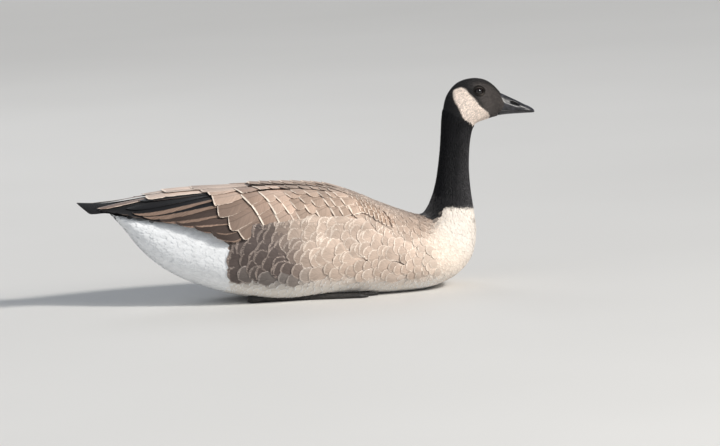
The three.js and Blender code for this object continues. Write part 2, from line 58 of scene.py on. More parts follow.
PATCH = 0.003  # how wide a small feather's patch is on its piece's bake map
SHARP = math.radians(50)  # faces that meet at more than this keep a hard edge between them
log = logging.getLogger("goose")

Floats = np.ndarray
Pair = tuple[float, float]
Triple = tuple[float, float, float]
Material = bpy.types.Material
Piece = bpy.types.Object
Socket = bpy.types.NodeSocket


def ramp(x: Floats, low: float, high: float) -> Floats:
    """A smooth step of x from 0 at low to 1 at high."""
    share = np.clip((np.asarray(x, float) - low) / (high - low), 0.0, 1.0)
    return share * share * (3.0 - 2.0 * share)


def mix(a: Floats, b: Floats, share: Floats) -> Floats:
    """The value at a share of the way from a to b."""
    return a + (b - a) * share


def unit(vectors: Floats) -> Floats:
    """The vectors at length one."""
    return vectors / np.maximum(np.linalg.norm(vectors, axis=-1, keepdims=True), 1e-12)


def dot(a: Floats, b: Floats) -> Floats:
    """The dot product of each pair of vectors, with its last axis kept."""
    return (a * b).sum(-1, keepdims=True)


def srgb(red: int, green: int, blue: int) -> Triple:
    """A colour's linear values from its 0 to 255 screen values."""
    shares = np.array([red, green, blue]) / 255.0
    return tuple(np.where(shares <= 0.04045, shares / 12.92, ((shares + 0.055) / 1.055) ** 2.4).tolist())


@dataclass(frozen=True)
class SmoothCurve:
    """A centripetal Catmull-Rom curve through knots, one row each."""

    knots: Floats

    def at(self, share: Floats) -> Floats:
        """Points of the curve.

        Args:
            share: Places from 0 at the first knot to 1 at the last, with equal steps from knot to knot.

        Returns:
            One row for each place.
        """
        first_end = 2 * self.knots[0] - self.knots[1]
        last_end = 2 * self.knots[-1] - self.knots[-2]
        knots = np.vstack([first_end, self.knots, last_end])
        last = len(self.knots) - 1
        place = np.clip(np.asarray(share, float), 0.0, 1.0) * last
        first = np.minimum(place.astype(int), last - 1)
        w = (place - first)[..., None]
        p0, p1, p2, p3 = (knots[first + k] for k in range(4))
        pairs = ((p0, p1), (p1, p2), (p2, p3))
        d0, d1, d2 = (np.maximum(dot(b - a, b - a), 1e-12) ** 0.25 for a, b in pairs)
        m1 = ((p1 - p0) / d0 - (p2 - p0) / (d0 + d1) + (p2 - p1) / d1) * d1
        m2 = ((p2 - p1) / d1 - (p3 - p1) / (d1 + d2) + (p3 - p2) / d2) * d1
        return p1 + m1 * w + (3 * (p2 - p1) - 2 * m1 - m2) * w**2 + (2 * (p1 - p2) + m1 + m2) * w**3


@dataclass(frozen=True)
class Rib:
    """One section of the body: the ends of its line in the side view, and its half width."""

    name: str
    low: Pair
    high: Pair
    half: float


@dataclass
class BodyShape:
    """The skin of trunk, neck and head, over t from tail to bill and turn from below round by the right."""

    body_half: float = 97.0
    neck_half: float = 21.5
    head_half: float = 21.5
    bill_half: float = 12.5
    flank_lobe: float = 13.0
    flank_level: float = 0.78
    ribs: list[Rib] = field(init=False)
    low_curve: SmoothCurve = field(init=False)
    high_curve: SmoothCurve = field(init=False)

    def __post_init__(self) -> None:
        """Sets the ribs from the driving half widths, and the curves through their ends."""
        body, neck, head = self.body_half, self.neck_half, self.head_half
        self.ribs = [
            Rib("tail_coverts", (-279, 131.5), (-281, 134.5), 0.25 * body),
            Rib("under_tail", (-262, 110), (-263, 136), 0.34 * body),
            Rib("vent", (-238, 77), (-238, 139), 0.46 * body),
            Rib("rump", (-205, 48), (-204, 142), 0.6 * body),
            Rib("loin", (-163, 26), (-162, 145), 0.75 * body),
            Rib("hip", (-112, 8.5), (-112, 147), 0.89 * body),
            Rib("belly_rear", (-56, -3), (-56, 150), 0.975 * body),
            Rib("belly", (4, -3), (2, 154), body),
            Rib("belly_front", (64, -3), (57, 143.5), 0.97 * body),
            Rib("keel", (120, -3), (98, 124.5), 0.915 * body),
            Rib("crop", (167, 2), (130, 110.5), 0.84 * body),
            Rib("breast_low", (202, 17), (149, 103), 0.74 * body),
            Rib("breast", (224, 40), (159, 101.5), 0.62 * body),
            Rib("breast_top", (233, 73), (166, 107.5), 0.49 * body),
            Rib("neck_root", (231.8, 104), (174.5, 124), 1.7 * neck),
            Rib("neck_low", (229, 134), (181.5, 146), 1.3 * neck),
            Rib("neck_mid", (228, 162), (186, 168), 1.07 * neck),
            Rib("neck_high", (229.5, 186), (189.5, 190), 0.98 * neck),
            Rib("throat", (232.5, 206), (192, 213), 0.96 * neck),
            Rib("nape", (236.5, 219), (195, 240), 0.97 * head),
            Rib("back_head", (241, 225), (202.5, 266), head),
            Rib("cheek", (247.5, 228), (218, 283), head),
            Rib("crown", (255, 230), (239, 288.5), 0.96 * head),
            Rib("brow", (262, 231.8), (257, 285.4), 0.85 * head),
            Rib("lores", (268.5, 233.2), (269.5, 276.6), 0.71 * head),
            Rib("bill_root", (273.5, 234.2), (277.4, 266.2), self.bill_half),
        ]
        self.low_curve = SmoothCurve(np.array([(r.low[0], r.half, r.low[1]) for r in self.ribs], float))
        self.high_curve = SmoothCurve(np.array([(r.high[0], r.half, r.high[1]) for r in self.ribs], float))

    def at(self, name: str) -> float:
        """The t of a rib."""
        return [r.name for r in self.ribs].index(name) / (len(self.ribs) - 1)

    def point(self, t: Floats, turn: Floats) -> Floats:
        """Points of the skin.

        Each half of a section is an ellipse with a power: above 2 it is squarer, below 2 sharper.

        Args:
            t: Places from the tail to the bill.
            turn: Places round the section.

        Returns:
            Rows of x, y and z in millimetres.
        """
        t, turn = np.broadcast_arrays(np.asarray(t, float), np.asarray(turn, float))
        low, high = self.low_curve.at(t), self.high_curve.at(t)
        trunk = 1 - ramp(t, self.at("breast"), self.at("neck_low"))
        face = ramp(t, self.at("nape"), self.at("cheek"))
        rear = 1 - ramp(t, self.at("tail_coverts"), self.at("rump"))
        winged = ramp(t, self.at("rump"), self.at("hip")) * (1 - ramp(t, self.at("belly"), self.at("keel")))
        below = 2 + 0.45 * trunk * (1 - rear) + 0.1 * face
        above = 2 + 0.3 * trunk * (1 - rear) + 0.15 * face - 0.55 * winged
        level = 0.5 - 0.03 * trunk * (1 - rear) - 0.07 * face + 0.1 * rear
        flank = ramp(t, self.at("loin") + 0.015, self.at("hip") + 0.004)
        flank = flank * (1 - ramp(t, self.at("belly_front"), self.at("keel")))
        up, side = -np.cos(turn), np.sin(turn)
        power = 2 / np.where(up < 0, below, above)
        rise = 0.5 + 0.5 * np.sign(up) * np.abs(up) ** power
        share = rise + (level - 0.5) * 4 * rise * (1 - rise)
        lobe = self.flank_lobe * flank * np.exp(-(((share - self.flank_level) / 0.1) ** 2))
        y = -np.sign(side) * (np.abs(side) ** power * low[..., 1] + lobe)
        points = mix(low, high, share[..., None])
        points[..., 1] = y
        return points

    def frame(self, t: Floats, turn: Floats) -> tuple[Floats, Floats, Floats]:
        """Directions on the skin.

        Args:
            t: Places from the tail to the bill.
            turn: Places round the section.

        Returns:
            The outward direction, the coat's lie towards the tail, and the direction round the section.
        """
        step = 2e-3
        ahead = self.point(np.minimum(t + step, 1), turn) - self.point(np.maximum(t - step, 0), turn)
        around = unit(self.point(t, turn + 4 * step) - self.point(t, turn - 4 * step))
        out = unit(np.cross(ahead, around))
        lie = unit(np.cross(around, out))
        return out, np.where(dot(lie, ahead) > 0, -lie, lie), around


class Sheet(Protocol):
    """A curved sheet over two coordinates that long feathers lie on."""

    step: Pair

    def point(self, a: Floats, b: Floats) -> Floats:
        """Points of the sheet in millimetres."""


def sheet_frame(sheet: Sheet, a: Floats, b: Floats) -> tuple[Floats, Floats, Floats]:
    """Directions on a sheet.

    Args:
        sheet: The sheet.
        a: Its first coordinate, which falls towards the tail.
        b: Its second coordinate, which rises away from the back's middle.

    Returns:
        The change of place with a, the change of place with b, and the outward direction.
    """
    step_a, step_b = sheet.step
    along = (sheet.point(a + step_a, b) - sheet.point(a - step_a, b)) / (2 * step_a)
    down = (sheet.point(a, b + step_b) - sheet.point(a, b - step_b)) / (2 * step_b)
    return along, down, unit(np.cross(along, down))


@dataclass(frozen=True)
class WingStation:
    """The left wing's section at x: upper edge, the corner it bends round and lower edge, as y and z."""

    x: float
    upper: Pair
    crest: Pair
    lower: Pair
    deep: float


@dataclass
class WingSheet:
    """The folded left wing's upper face, over x and a share from the back's middle to the lower edge."""

    step: Pair = (0.5, 0.005)
    front: float = 109.0
    places: Floats = field(init=False)
    edges: list[SmoothCurve] = field(init=False)
    stations: tuple[WingStation, ...] = (
        WingStation(112, (60, 107), (79, 105), (79, 92), 16),
        WingStation(70, (46, 134.5), (86, 135), (82, 100), 17),
        WingStation(30, (24, 148.5), (90, 150), (82, 98), 18),
        WingStation(-10, (8, 155.5), (92, 157.5), (81, 97), 19),
        WingStation(-50, (0.3, 158.5), (92, 161), (81, 97), 20),
        WingStation(-90, (0.3, 159), (89, 164), (79, 98), 21),
        WingStation(-120, (0.3, 158.8), (79, 165), (87, 92), 21),
        WingStation(-147, (0.3, 158.5), (68, 164), (80, 106), 20),
        WingStation(-170, (0.3, 158), (60, 162.5), (72, 115), 18),
        WingStation(-195, (0.3, 157), (52, 160.5), (61, 122), 14),
        WingStation(-232, (0.6, 153.5), (42, 155), (46, 130), 7),
        WingStation(-267, (9, 149.5), (32, 149), (39, 136), 3.6),
        WingStation(-298, (29, 146), (36, 145), (38, 140), 2),
    )

    def __post_init__(self) -> None:
        """Sets the curves through the stations."""
        self.places = np.array([w.x for w in self.stations], float)
        self.edges = [
            SmoothCurve(np.array([(w.x, *getattr(w, edge)) for w in self.stations], float))
            for edge in ("upper", "crest", "lower")
        ]

    def point(self, a: Floats, b: Floats) -> Floats:
        """Points of the sheet.

        Args:
            a: Places along x.
            b: Shares of the way from the back's middle to the lower edge.

        Returns:
            Rows of x, y and z in millimetres.
        """
        a, b = np.broadcast_arrays(np.asarray(a, float), np.asarray(b, float))
        last = len(self.places) - 1
        span = np.interp(-a, -self.places, np.arange(last + 1)) / last
        upper, crest, lower = (edge.at(span) for edge in self.edges)
        keep, share = (1 - b)[..., None], b[..., None]
        points = upper * keep**2 + crest * 2 * keep * share + lower * share**2
        points[..., 0] = a
        return points

    def deep(self, x: Floats) -> Floats:
        """How thick the wing's body is at x."""
        return np.interp(-x, -self.places, [w.deep for w in self.stations])


@dataclass
class TailSheet:
    """The folded tail's arched upper face, over x and y: its ridge, and how far it drops beside the ridge."""

    step: Pair = (1.0, 1.0)
    xs: tuple[float, ...] = (-326.0, -305.0, -275.0, -245.0, -214.0)
    tops: tuple[float, ...] = (149.3, 147.6, 145.3, 143.5, 142.0)
    drop: float = 7.4
    drop_at: float = 36.0

    def point(self, a: Floats, b: Floats) -> Floats:
        """Points of the sheet.

        Args:
            a: Places along x.
            b: Places along y.

        Returns:
            Rows of x, y and z in millimetres.
        """
        a, b = np.broadcast_arrays(np.asarray(a, float), np.asarray(b, float))
        top = np.interp(a, self.xs, self.tops)
        return np.stack([a, b, top - self.drop * (b / self.drop_at) ** 2], -1)


class Tone(Enum):
    """Colours of the plumage, in linear values."""

    BLACK = srgb(12, 12, 14)
    # Painted sheen: the grey fringes of the black neck and head, and a lighter grey on the neck's front.
    NECK_GREY = srgb(38, 38, 42)
    NECK_LIT = srgb(104, 102, 105)
    # Painted sheen: the face's black feathers in the grey-brown they show when lit, with lighter tips.
    FACE = srgb(72, 67, 65)
    FACE_EDGE = srgb(120, 113, 107)
    LID = srgb(112, 104, 97)
    CHEEK = srgb(236, 221, 209)
    BREAST = srgb(234, 225, 215)
    BREAST_SIDE = srgb(226, 208, 192)
    CREAM = srgb(248, 237, 222)
    MANTLE = srgb(188, 165, 148)
    MANTLE_EDGE = srgb(232, 213, 197)
    SCAPULAR = srgb(197, 172, 154)
    SHOULDER = srgb(176, 150, 131)
    COVERT = srgb(195, 170, 153)
    COVERT_DARK = srgb(148, 126, 112)
    FRINGE = srgb(250, 234, 218)
    TERTIAL = srgb(222, 199, 183)
    TERTIAL_LONG = srgb(126, 106, 96)
    STRIPE = srgb(160, 134, 117)
    QUILL = srgb(70, 57, 51)
    QUILL_BLACK = srgb(18, 18, 22)
    QUILL_EDGE = srgb(104, 90, 82)
    FLANK_DARK = srgb(92, 81, 77)
    FLANK_DARK_EDGE = srgb(176, 161, 151)
    FLANK = srgb(204, 183, 167)
    FLANK_EDGE = srgb(246, 233, 219)
    BELLY = srgb(228, 222, 214)
    WHITE = srgb(240, 242, 244)
    TAIL = srgb(14, 13, 16)
    TAIL_EDGE = srgb(40, 36, 37)


def within(t: Floats, turn: Floats, outline: Sequence[Pair], soft: float) -> Floats:
    """How far places lie inside an outline.

    Args:
        t: Places from the tail to the bill.
        turn: Places round the section, from 0 below to pi above.
        outline: Corners as (t, turn).
        soft: The width of the blend at the outline, in millimetres.

    Returns:
        1 inside and 0 outside, with a blend between.
    """
    scale = np.array([420.0, 21.0])  # millimetres for one unit of t and of turn on the head
    p = np.stack([t, turn], -1) * scale
    corners = np.array(outline, float) * scale
    inside = np.zeros(t.shape, bool)
    nearest = np.full(t.shape, 1e9)
    for a, b in zip(corners, np.roll(corners, -1, axis=0)):
        edge = b - a
        share = np.clip(((p - a) @ edge) / (edge @ edge), 0, 1)
        nearest = np.minimum(nearest, np.linalg.norm(p - a - share[..., None] * edge, axis=-1))
        crosses = (a[1] > p[..., 1]) != (b[1] > p[..., 1])
        rise = np.where(edge[1] == 0, 1e-9, edge[1])
        inside ^= crosses & (p[..., 0] < a[0] + (p[..., 1] - a[1]) * edge[0] / rise)
    return ramp(np.where(inside, nearest, -nearest), -soft / 2, soft / 2)


@dataclass
class Markings:
    """The plumage's pattern over the body, with painted sheen on the black neck, head and face: a ground
    colour and the colour of each feather's fringe.
    """

    neck_edge: tuple[Pair, ...] = (
        (0.0, 0.565), (0.54, 0.564), (1.09, 0.561), (1.47, 0.557), (1.75, 0.554), (1.99, 0.549),
        (2.17, 0.540), (2.25, 0.520), (2.32, 0.488), (2.45, 0.492), (2.6, 0.495), (2.85, 0.488),
        (3.142, 0.462),
    )
    cheek: tuple[Pair, ...] = (
        (0.819, 2.78), (0.840, 2.56), (0.848, 2.33), (0.850, 2.06), (0.859, 1.75), (0.864, 1.51),
        (0.875, 1.30), (0.900, 0.99), (0.908, 0.64), (0.904, -0.5), (0.772, -0.5), (0.768, 0.5),
        (0.768, 0.88), (0.774, 1.32), (0.784, 1.62), (0.794, 1.88), (0.800, 2.20), (0.807, 2.46),
    )
    flank_front: tuple[Pair, ...] = (
        (0.0, 0.262), (1.3, 0.262), (1.66, 0.257), (1.81, 0.254), (1.98, 0.250), (2.15, 0.247),
        (2.28, 0.240), (3.142, 0.236),
    )
    flank_rear: float = 0.190

    def paint(self, t: Floats, side: Floats) -> tuple[Floats, Floats]:
        """Colours over the body.

        Args:
            t: Places from the tail to the bill.
            side: Places round the section, from 0 below to pi above.

        Returns:
            The ground colour and the fringe colour of each place, in linear values.
        """
        tones = (Tone.FLANK, Tone.FLANK_EDGE)
        ground, edge = (np.broadcast_to(np.array(tone.value), t.shape + (3,)).copy() for tone in tones)

        def lay(mask: Floats, tone: Tone, edge_tone: Tone) -> None:
            """Lays a pair of colours over what is there.

            Args:
                mask: How much of them each place takes.
                tone: The ground colour.
                edge_tone: The fringe colour.
            """
            share = mask[..., None]
            ground[...] = mix(ground, np.array(tone.value), share)
            edge[...] = mix(edge, np.array(edge_tone.value), share)

        front = np.interp(side, *zip(*self.flank_front))
        low = 1 - ramp(side, 0.75, 1.35)
        lay(ramp(t, 0.33, 0.41) * ramp(side, 1.9, 2.15), Tone.MANTLE, Tone.MANTLE_EDGE)
        lay(ramp(t, 0.36, 0.43) * (1 - ramp(side, 1.9, 2.3)), Tone.BREAST_SIDE, Tone.CREAM)
        lay(ramp(t, 0.40, 0.52) * (1 - ramp(side, 2.0, 2.5)), Tone.BREAST, Tone.CREAM)
        lay(ramp(t, 0.47, 0.50) * (1 - ramp(side, 1.6, 1.9)), Tone.BREAST, Tone.BREAST)
        lay(1 - ramp(t, front - 0.022, front + 0.02), Tone.FLANK_DARK, Tone.FLANK_DARK_EDGE)
        lay(low * (1 - ramp(t, 0.38, 0.46)), Tone.BELLY, Tone.WHITE)
        rear = self.flank_rear
        lay(1 - ramp(t, rear - 0.001, rear + 0.001), Tone.WHITE, Tone.WHITE)
        back = ramp(side, 2.3, 2.5) * ramp(t, 0.19, 0.22) * (1 - ramp(t, 0.33, 0.41))
        lay(back, Tone.MANTLE, Tone.MANTLE_EDGE)
        lay(ramp(side, 2.2, 2.4) * (1 - ramp(t, 0.17, 0.19)), Tone.QUILL_BLACK, Tone.QUILL)
        neck_from = np.interp(side, *zip(*self.neck_edge))
        black = ramp(t, neck_from - 0.003, neck_from + 0.003)
        # Painted sheen: the black neck and head get grey fringes, lighter on the neck's front, which faces
        # the light.
        lay(black, Tone.BLACK, Tone.NECK_GREY)
        lay(black * (1 - ramp(side, 0.8, 1.8)) * (1 - ramp(t, 0.68, 0.78)), Tone.BLACK, Tone.NECK_LIT)
        # Painted sheen: the face is grey-brown where its black feathers catch the light, with much less of it
        # on the crown.
        lay(ramp(t, 0.85, 0.90) * (1 - 0.75 * ramp(side, 2.4, 2.8)), Tone.FACE, Tone.FACE_EDGE)
        lay(within(t, side, self.cheek, 1.6), Tone.CHEEK, Tone.CHEEK)
        return ground, edge


class NodeTree:
    """A small hand for building a shader or geometry tree."""

    def __init__(self, tree: bpy.types.NodeTree) -> None:
        """Keeps the tree and empties it."""
        self.tree = tree
        tree.nodes.clear()

    def add(self, kind: str, inputs: dict | None = None, **settings: object) -> bpy.types.Node:
        """Adds a node.

        Args:
            kind: Its type name.
            inputs: Values or sockets for its inputs, by name or number.
            settings: Its own settings.

        Returns:
            The node.
        """
        node = self.tree.nodes.new(kind)
        for name, value in settings.items():
            setattr(node, name, value)
        for name, value in (inputs or {}).items():
            socket = node.inputs[name]
            if isinstance(value, Socket):
                self.tree.links.new(value, socket)
            else:
                socket.default_value = value
        return node

    def out(self, kind: str, inputs: dict | None = None, **settings: object) -> Socket:
        """Adds a node and returns its first output."""
        return self.add(kind, inputs, **settings).outputs[0]

    def maths(self, operation: str, *values: object, clamp: bool = False) -> Socket:
        """Adds a Math node and returns its output."""
        inputs = dict(enumerate(values))
        return self.out("ShaderNodeMath", inputs, operation=operation, use_clamp=clamp)

    def times(self, a: object, b: object, plus: object = None) -> Socket:
        """Adds a times b, and plus a third value where one is given."""
        return self.maths("MULTIPLY", a, b) if plus is None else self.maths("MULTIPLY_ADD", a, b, plus)

    def vector(self, operation: str, a: object, b: object) -> Socket:
        """Adds a Vector Math node.

        Args:
            operation: What it does.
            a: Its first vector.
            b: Its second vector, or a number to scale by.

        Returns:
            Its output, a number for a dot product.
        """
        inputs = {0: a, "Scale" if operation == "SCALE" else 1: b}
        node = self.add("ShaderNodeVectorMath", inputs, operation=operation)
        return node.outputs["Value" if operation == "DOT_PRODUCT" else "Vector"]

    def blend(self, share: object, a: object, b: object, mode: str = "MIX") -> Socket:
        """Adds a colour Mix node.

        Args:
            share: How far the result goes from a to b.
            a: The first colour.
            b: The second colour.
            mode: How they are mixed.

        Returns:
            The mixed colour.
        """
        node = self.add("ShaderNodeMix", data_type="RGBA", blend_type=mode)
        for index, value in ((0, share), (6, a), (7, b)):
            if isinstance(value, Socket):
                self.tree.links.new(value, node.inputs[index])
            else:
                node.inputs[index].default_value = value
        return node.outputs[2]

    def window(self, value: Socket, low: float, high: float) -> Socket:
        """Adds a smooth Map Range from low and high to 0 and 1 and returns its output."""
        inputs = {0: value, 1: low, 2: high}
        return self.out("ShaderNodeMapRange", inputs, interpolation_type="SMOOTHSTEP")

    def object_place(self) -> Socket:
        """Adds the place on the object and returns it."""
        return self.add("ShaderNodeTexCoord").outputs["Object"]

    def noise(self, place: Socket, scale: float, detail: float) -> Socket:
        """Adds a Noise Texture and returns its value."""
        inputs = {"Vector": place, "Scale": scale, "Detail": detail}
        return self.out("ShaderNodeTexNoise", inputs)

    def attribute(self, name: str, output: str = "Color") -> Socket:
        """Adds the reading of an attribute in a material and returns it."""
        return self.add("ShaderNodeAttribute", attribute_name=name).outputs[output]

    def shaded(self, colour: Socket, tone: Socket) -> Socket:
        """The colour times a tone."""
        grey = self.out("ShaderNodeCombineColor", {0: tone, 1: tone, 2: tone})
        return self.blend(1.0, colour, grey, "MULTIPLY")

    def bump(self, height: Socket, strength: float, distance: float) -> Socket:
        """Adds a Bump node and returns its normal."""
        inputs = {"Height": height, "Strength": strength, "Distance": distance}
        return self.out("ShaderNodeBump", inputs)

    def surface(self, inputs: dict[str, object]) -> None:
        """Adds the shader with these inputs and joins it to the material's output."""
        shader = self.add("ShaderNodeBsdfPrincipled", inputs)
        self.add("ShaderNodeOutputMaterial", {"Surface": shader.outputs[0]})

    def named(self, name: str, kind: str = "FLOAT_VECTOR") -> Socket:
        """Adds the reading of an attribute in a geometry tree and returns it."""
        node = self.add("GeometryNodeInputNamedAttribute", {"Name": name}, data_type=kind)
        return node.outputs["Attribute"]

    def store(
        self, geometry: Socket, name: str, value: Socket, domain: str, kind: str = "FLOAT_VECTOR"
    ) -> Socket:
        """Stores an attribute on a geometry.

        Args:
            geometry: The geometry.
            name: The attribute's name.
            value: What it holds.
            domain: Whether points, instances or corners hold it.
            kind: Its type.

        Returns:
            The geometry with the attribute.
        """
        inputs = {"Geometry": geometry, "Name": name, "Value": value}
        return self.out("GeometryNodeStoreNamedAttribute", inputs, data_type=kind, domain=domain)

    def random(self, kind: str, low: object, high: object, seed: Socket) -> Socket:
        """Adds a random value for each point.

        Args:
            kind: Its type.
            low: The least it may be.
            high: The most it may be.
            seed: What it is drawn from.

        Returns:
            The value.
        """
        node = self.add("FunctionNodeRandomValue", data_type=kind)
        shown = [s for s in node.inputs if s.enabled and s.name in ("Min", "Max")]
        shown[0].default_value, shown[1].default_value = low, high
        self.tree.links.new(seed, node.inputs["Seed"])
        return next(s for s in node.outputs if s.enabled)


def new_material(name: str) -> tuple[Material, NodeTree]:
    """Makes a node material.

    Args:
        name: Its name.

    Returns:
        The material and its emptied tree.
    """
    material = bpy.data.materials.new(name)
    material.use_nodes = True
    return material, NodeTree(material.node_tree)


@dataclass(frozen=True)
class FeatherFinish:
    """A feather's finish, with ground and fringe from attributes, barbs, streaks, a shaft and a dusky tip."""

    name: str
    barbs: float = 34.0
    slant: float = 9.0
    finer: float = 1.0
    barb_tone: float = 0.10
    comb: float = 0.25
    streak: float = 0.30
    shaft_tone: float = 0.25
    dusk: float = 0.25
    chance: float = 0.16
    roughness: float = 0.62
    sheen: float = 0.25
    bump: float = 0.25
    specular: float = 0.3

    def make(self) -> Material:
        """Builds the material.

        Returns:
            A material that reads the attributes Ground, Edge, Trim and Chance and the map Vane.
        """
        material, tree = new_material(self.name)
        ground, edge = tree.attribute("Ground"), tree.attribute("Edge")
        chance = tree.attribute("Chance", "Fac")
        trims = tree.add("ShaderNodeSeparateXYZ", {0: tree.attribute("Trim", "Vector")}).outputs
        vane = tree.out("ShaderNodeUVMap", uv_map="Vane")
        vanes = tree.add("ShaderNodeSeparateXYZ", {0: vane}).outputs
        across = tree.times(vanes[0], 2.0, -1.0)
        off = tree.maths("ABSOLUTE", across)
        # Barbs slant back from the shaft, and waver a little.
        lag = tree.times(off, -self.slant)
        comb = tree.times(vanes[1], self.barbs, lag)
        seeded = tree.times(chance, 37.0)
        narrowed = tree.times(across, 0.7)
        along = tree.out("ShaderNodeCombineXYZ", {0: comb, 1: narrowed, 2: seeded})
        waver = tree.times(tree.noise(along, 0.55, 1.0), 3.0, comb)
        phase = tree.times(waver, 2 * math.pi)
        barb = tree.maths("SINE", phase)
        fine = tree.maths("SINE", tree.times(phase, self.finer))
        streaks = tree.noise(along, 0.9, 3.0)
        # The fringe is as wide as the trims say: along the outer edge, along the inner one, and at the tip.
        outer = tree.maths("GREATER_THAN", across, 0.0)
        inner = tree.maths("SUBTRACT", 1.0, outer)
        width = tree.times(trims[0], outer)
        width = tree.times(trims[1], inner, width)
        frayed = tree.times(barb, 0.02, off)
        frayed = tree.times(streaks, 0.10, frayed)
        side = tree.maths("SUBTRACT", tree.maths("ADD", frayed, width), 1.05)
        side = tree.window(side, -0.05, 0.07)
        bowed = tree.times(tree.times(off, off), 0.03, vanes[1])
        bowed = tree.times(streaks, 0.03, bowed)
        tip = tree.maths("SUBTRACT", tree.maths("ADD", bowed, trims[2]), 1.015)
        tip = tree.window(tip, -0.012, 0.018)
        fringe = tree.maths("MAXIMUM", side, tip)
        worn = tree.times(barb, self.comb, 1.0 - self.comb)
        fringe = tree.times(fringe, worn)
        # The ground darkens towards the tip and along the shaft, in streaks and barbs.
        dusk = tree.window(vanes[1], 0.35, 0.93)
        dusk = tree.times(dusk, -self.dusk, 1.0)
        shaft = tree.window(off, 0.075, 0.02)
        dark = tree.times(shaft, -self.shaft_tone, 1.0)
        tone = tree.times(streaks, 2 * self.streak, 1.0 - self.streak)
        tone = tree.times(tree.times(tone, dusk), dark)
        tone = tree.times(tone, tree.times(fine, self.barb_tone, 1.0))
        colour = tree.blend(fringe, tree.shaded(ground, tone), edge)
        spread = tree.times(chance, 2 * self.chance, 0.92 - self.chance)
        spread = tree.times(tree.noise(tree.object_place(), 70.0, 3.0), 0.16, spread)
        height = tree.times(shaft, 1.5, fine)
        tree.surface(
            {
                "Base Color": tree.shaded(colour, spread),
                "Roughness": self.roughness,
                "Specular IOR Level": self.specular,
                "Sheen Weight": self.sheen,
                "Sheen Roughness": 0.4,
                "Normal": tree.bump(height, self.bump, 0.00025),
            }
        )
        return material


@dataclass(frozen=True)
class SkinFinish:
    """The finish of the skin under the coat, with the coat's markings darkened as painted shade between the
    feathers.
    """

    name: str = "skin_under_coat"
    shade: float = 0.55

    def make(self) -> Material:
        """Builds the material.

        Returns:
            A material that reads the attribute Ground, with a fine fibre.
        """
        material, tree = new_material(self.name)
        fibre = tree.noise(tree.object_place(), 700.0, 4.0)
        # Painted shade: the ground is darkened by the shade, for the skin that shows between the feathers.
        tone = tree.times(fibre, 0.4, self.shade)
        tree.surface(
            {
                "Base Color": tree.shaded(tree.attribute("Ground"), tone),
                "Roughness": 0.85,
                "Specular IOR Level": 0.2,
                "Normal": tree.bump(fibre, 0.5, 0.0006),
            }
        )
        return material


@dataclass(frozen=True)
class HornFinish:
    """Horn or leathery skin: a ground colour with soft wear, grain and fine scales, and on the bill painted
    highlight and painted shade.
    """

    name: str
    colour: Triple
    worn: Triple
    roughness: float = 0.32
    grain: float = 160.0
    scales: float = 0.0
    bump: float = 0.2

    def make(self) -> Material:
        """Builds the material.

        Returns:
            A material that reads the attribute Marks: its painted highlight, blended towards the worn colour,
            and its painted shade, which darkens.
        """
        material, tree = new_material(self.name)
        place = tree.object_place()
        broad, fine = tree.noise(place, self.grain, 5.0), tree.noise(place, 1900.0, 3.0)
        marks = tree.add("ShaderNodeSeparateXYZ", {0: tree.attribute("Marks", "Vector")}).outputs
        # Wear at random blends towards the worn colour, and so does the painted highlight; the painted shade
        # darkens towards black.
        share = tree.maths("ADD", tree.window(broad, 0.42, 0.78), marks[0], clamp=True)
        colour = tree.blend(share, (*self.colour, 1.0), (*self.worn, 1.0))
        colour = tree.blend(tree.maths("MINIMUM", marks[1], 0.92), colour, (0.0, 0.0, 0.0, 1.0))
        height = tree.times(fine, 0.4, broad)
        if self.scales:
            cells = tree.out("ShaderNodeTexVoronoi", {"Vector": place, "Scale": self.scales})
            height = tree.times(cells, -1.5, height)
        tree.surface(
            {
                "Base Color": colour,
                "Roughness": tree.times(broad, 0.25, self.roughness - 0.1),
                "Specular IOR Level": 0.5,
                "Normal": tree.bump(height, self.bump, 0.0006),
            }
        )
        return material


def mesh_object(
    name: str,
    points: Floats,
    faces: Floats,
    material: Material | None,
    colours: dict[str, Floats] | None = None,
    maps: dict[str, Floats] | None = None,
) -> Piece:
    """Makes a mesh object at the origin.

    Args:
        name: The object's name.
        points: Its points in millimetres.
        faces: Its faces, as rows of equal length.
        material: Its material.
        colours: Attributes on points, as numbers or as rows of three.
        maps: UV maps, as one row of two for each point.

    Returns:
        The object, linked to the scene.
    """
    mesh = bpy.data.meshes.new(name)
    faces = np.asarray(faces, np.int32)
    sides = faces.shape[1]
    mesh.vertices.add(len(points))
    mesh.vertices.foreach_set("co", (np.asarray(points) * MM).astype(np.float32).ravel())
    mesh.loops.add(faces.size)
    mesh.loops.foreach_set("vertex_index", faces.ravel())
    mesh.polygons.add(len(faces))
    mesh.polygons.foreach_set("loop_start", np.arange(0, faces.size, sides, dtype=np.int32))
    for key, rows in (colours or {}).items():
        rows = np.asarray(rows, np.float32)
        kind, slot = ("FLOAT", "value") if rows.ndim == 1 else ("FLOAT_VECTOR", "vector")
        mesh.attributes.new(key, kind, "POINT").data.foreach_set(slot, rows.ravel())
    for key, rows in (maps or {}).items():
        layer = mesh.uv_layers.new(name=key)
        layer.data.foreach_set("uv", np.asarray(rows, np.float32)[faces.ravel()].ravel())
    mesh.update(calc_edges=True)
    mesh.validate()
    mesh.shade_smooth()
    if material:
        mesh.materials.append(material)
    made = bpy.data.objects.new(name, mesh)
    bpy.context.scene.collection.objects.link(made)
    return made


def ring_faces(rings: int, around: int) -> Floats:
    """Quads between rings of points that are closed round.

    Args:
        rings: How many rings there are.
        around: How many points a ring has.

    Returns:
        The quads, as rows of four.
    """
    i, j = np.meshgrid(np.arange(rings - 1), np.arange(around), indexing="ij")
    a, b = i * around + j, i * around + (j + 1) % around
    return np.stack([a, b, b + around, a + around], -1).reshape(-1, 4)


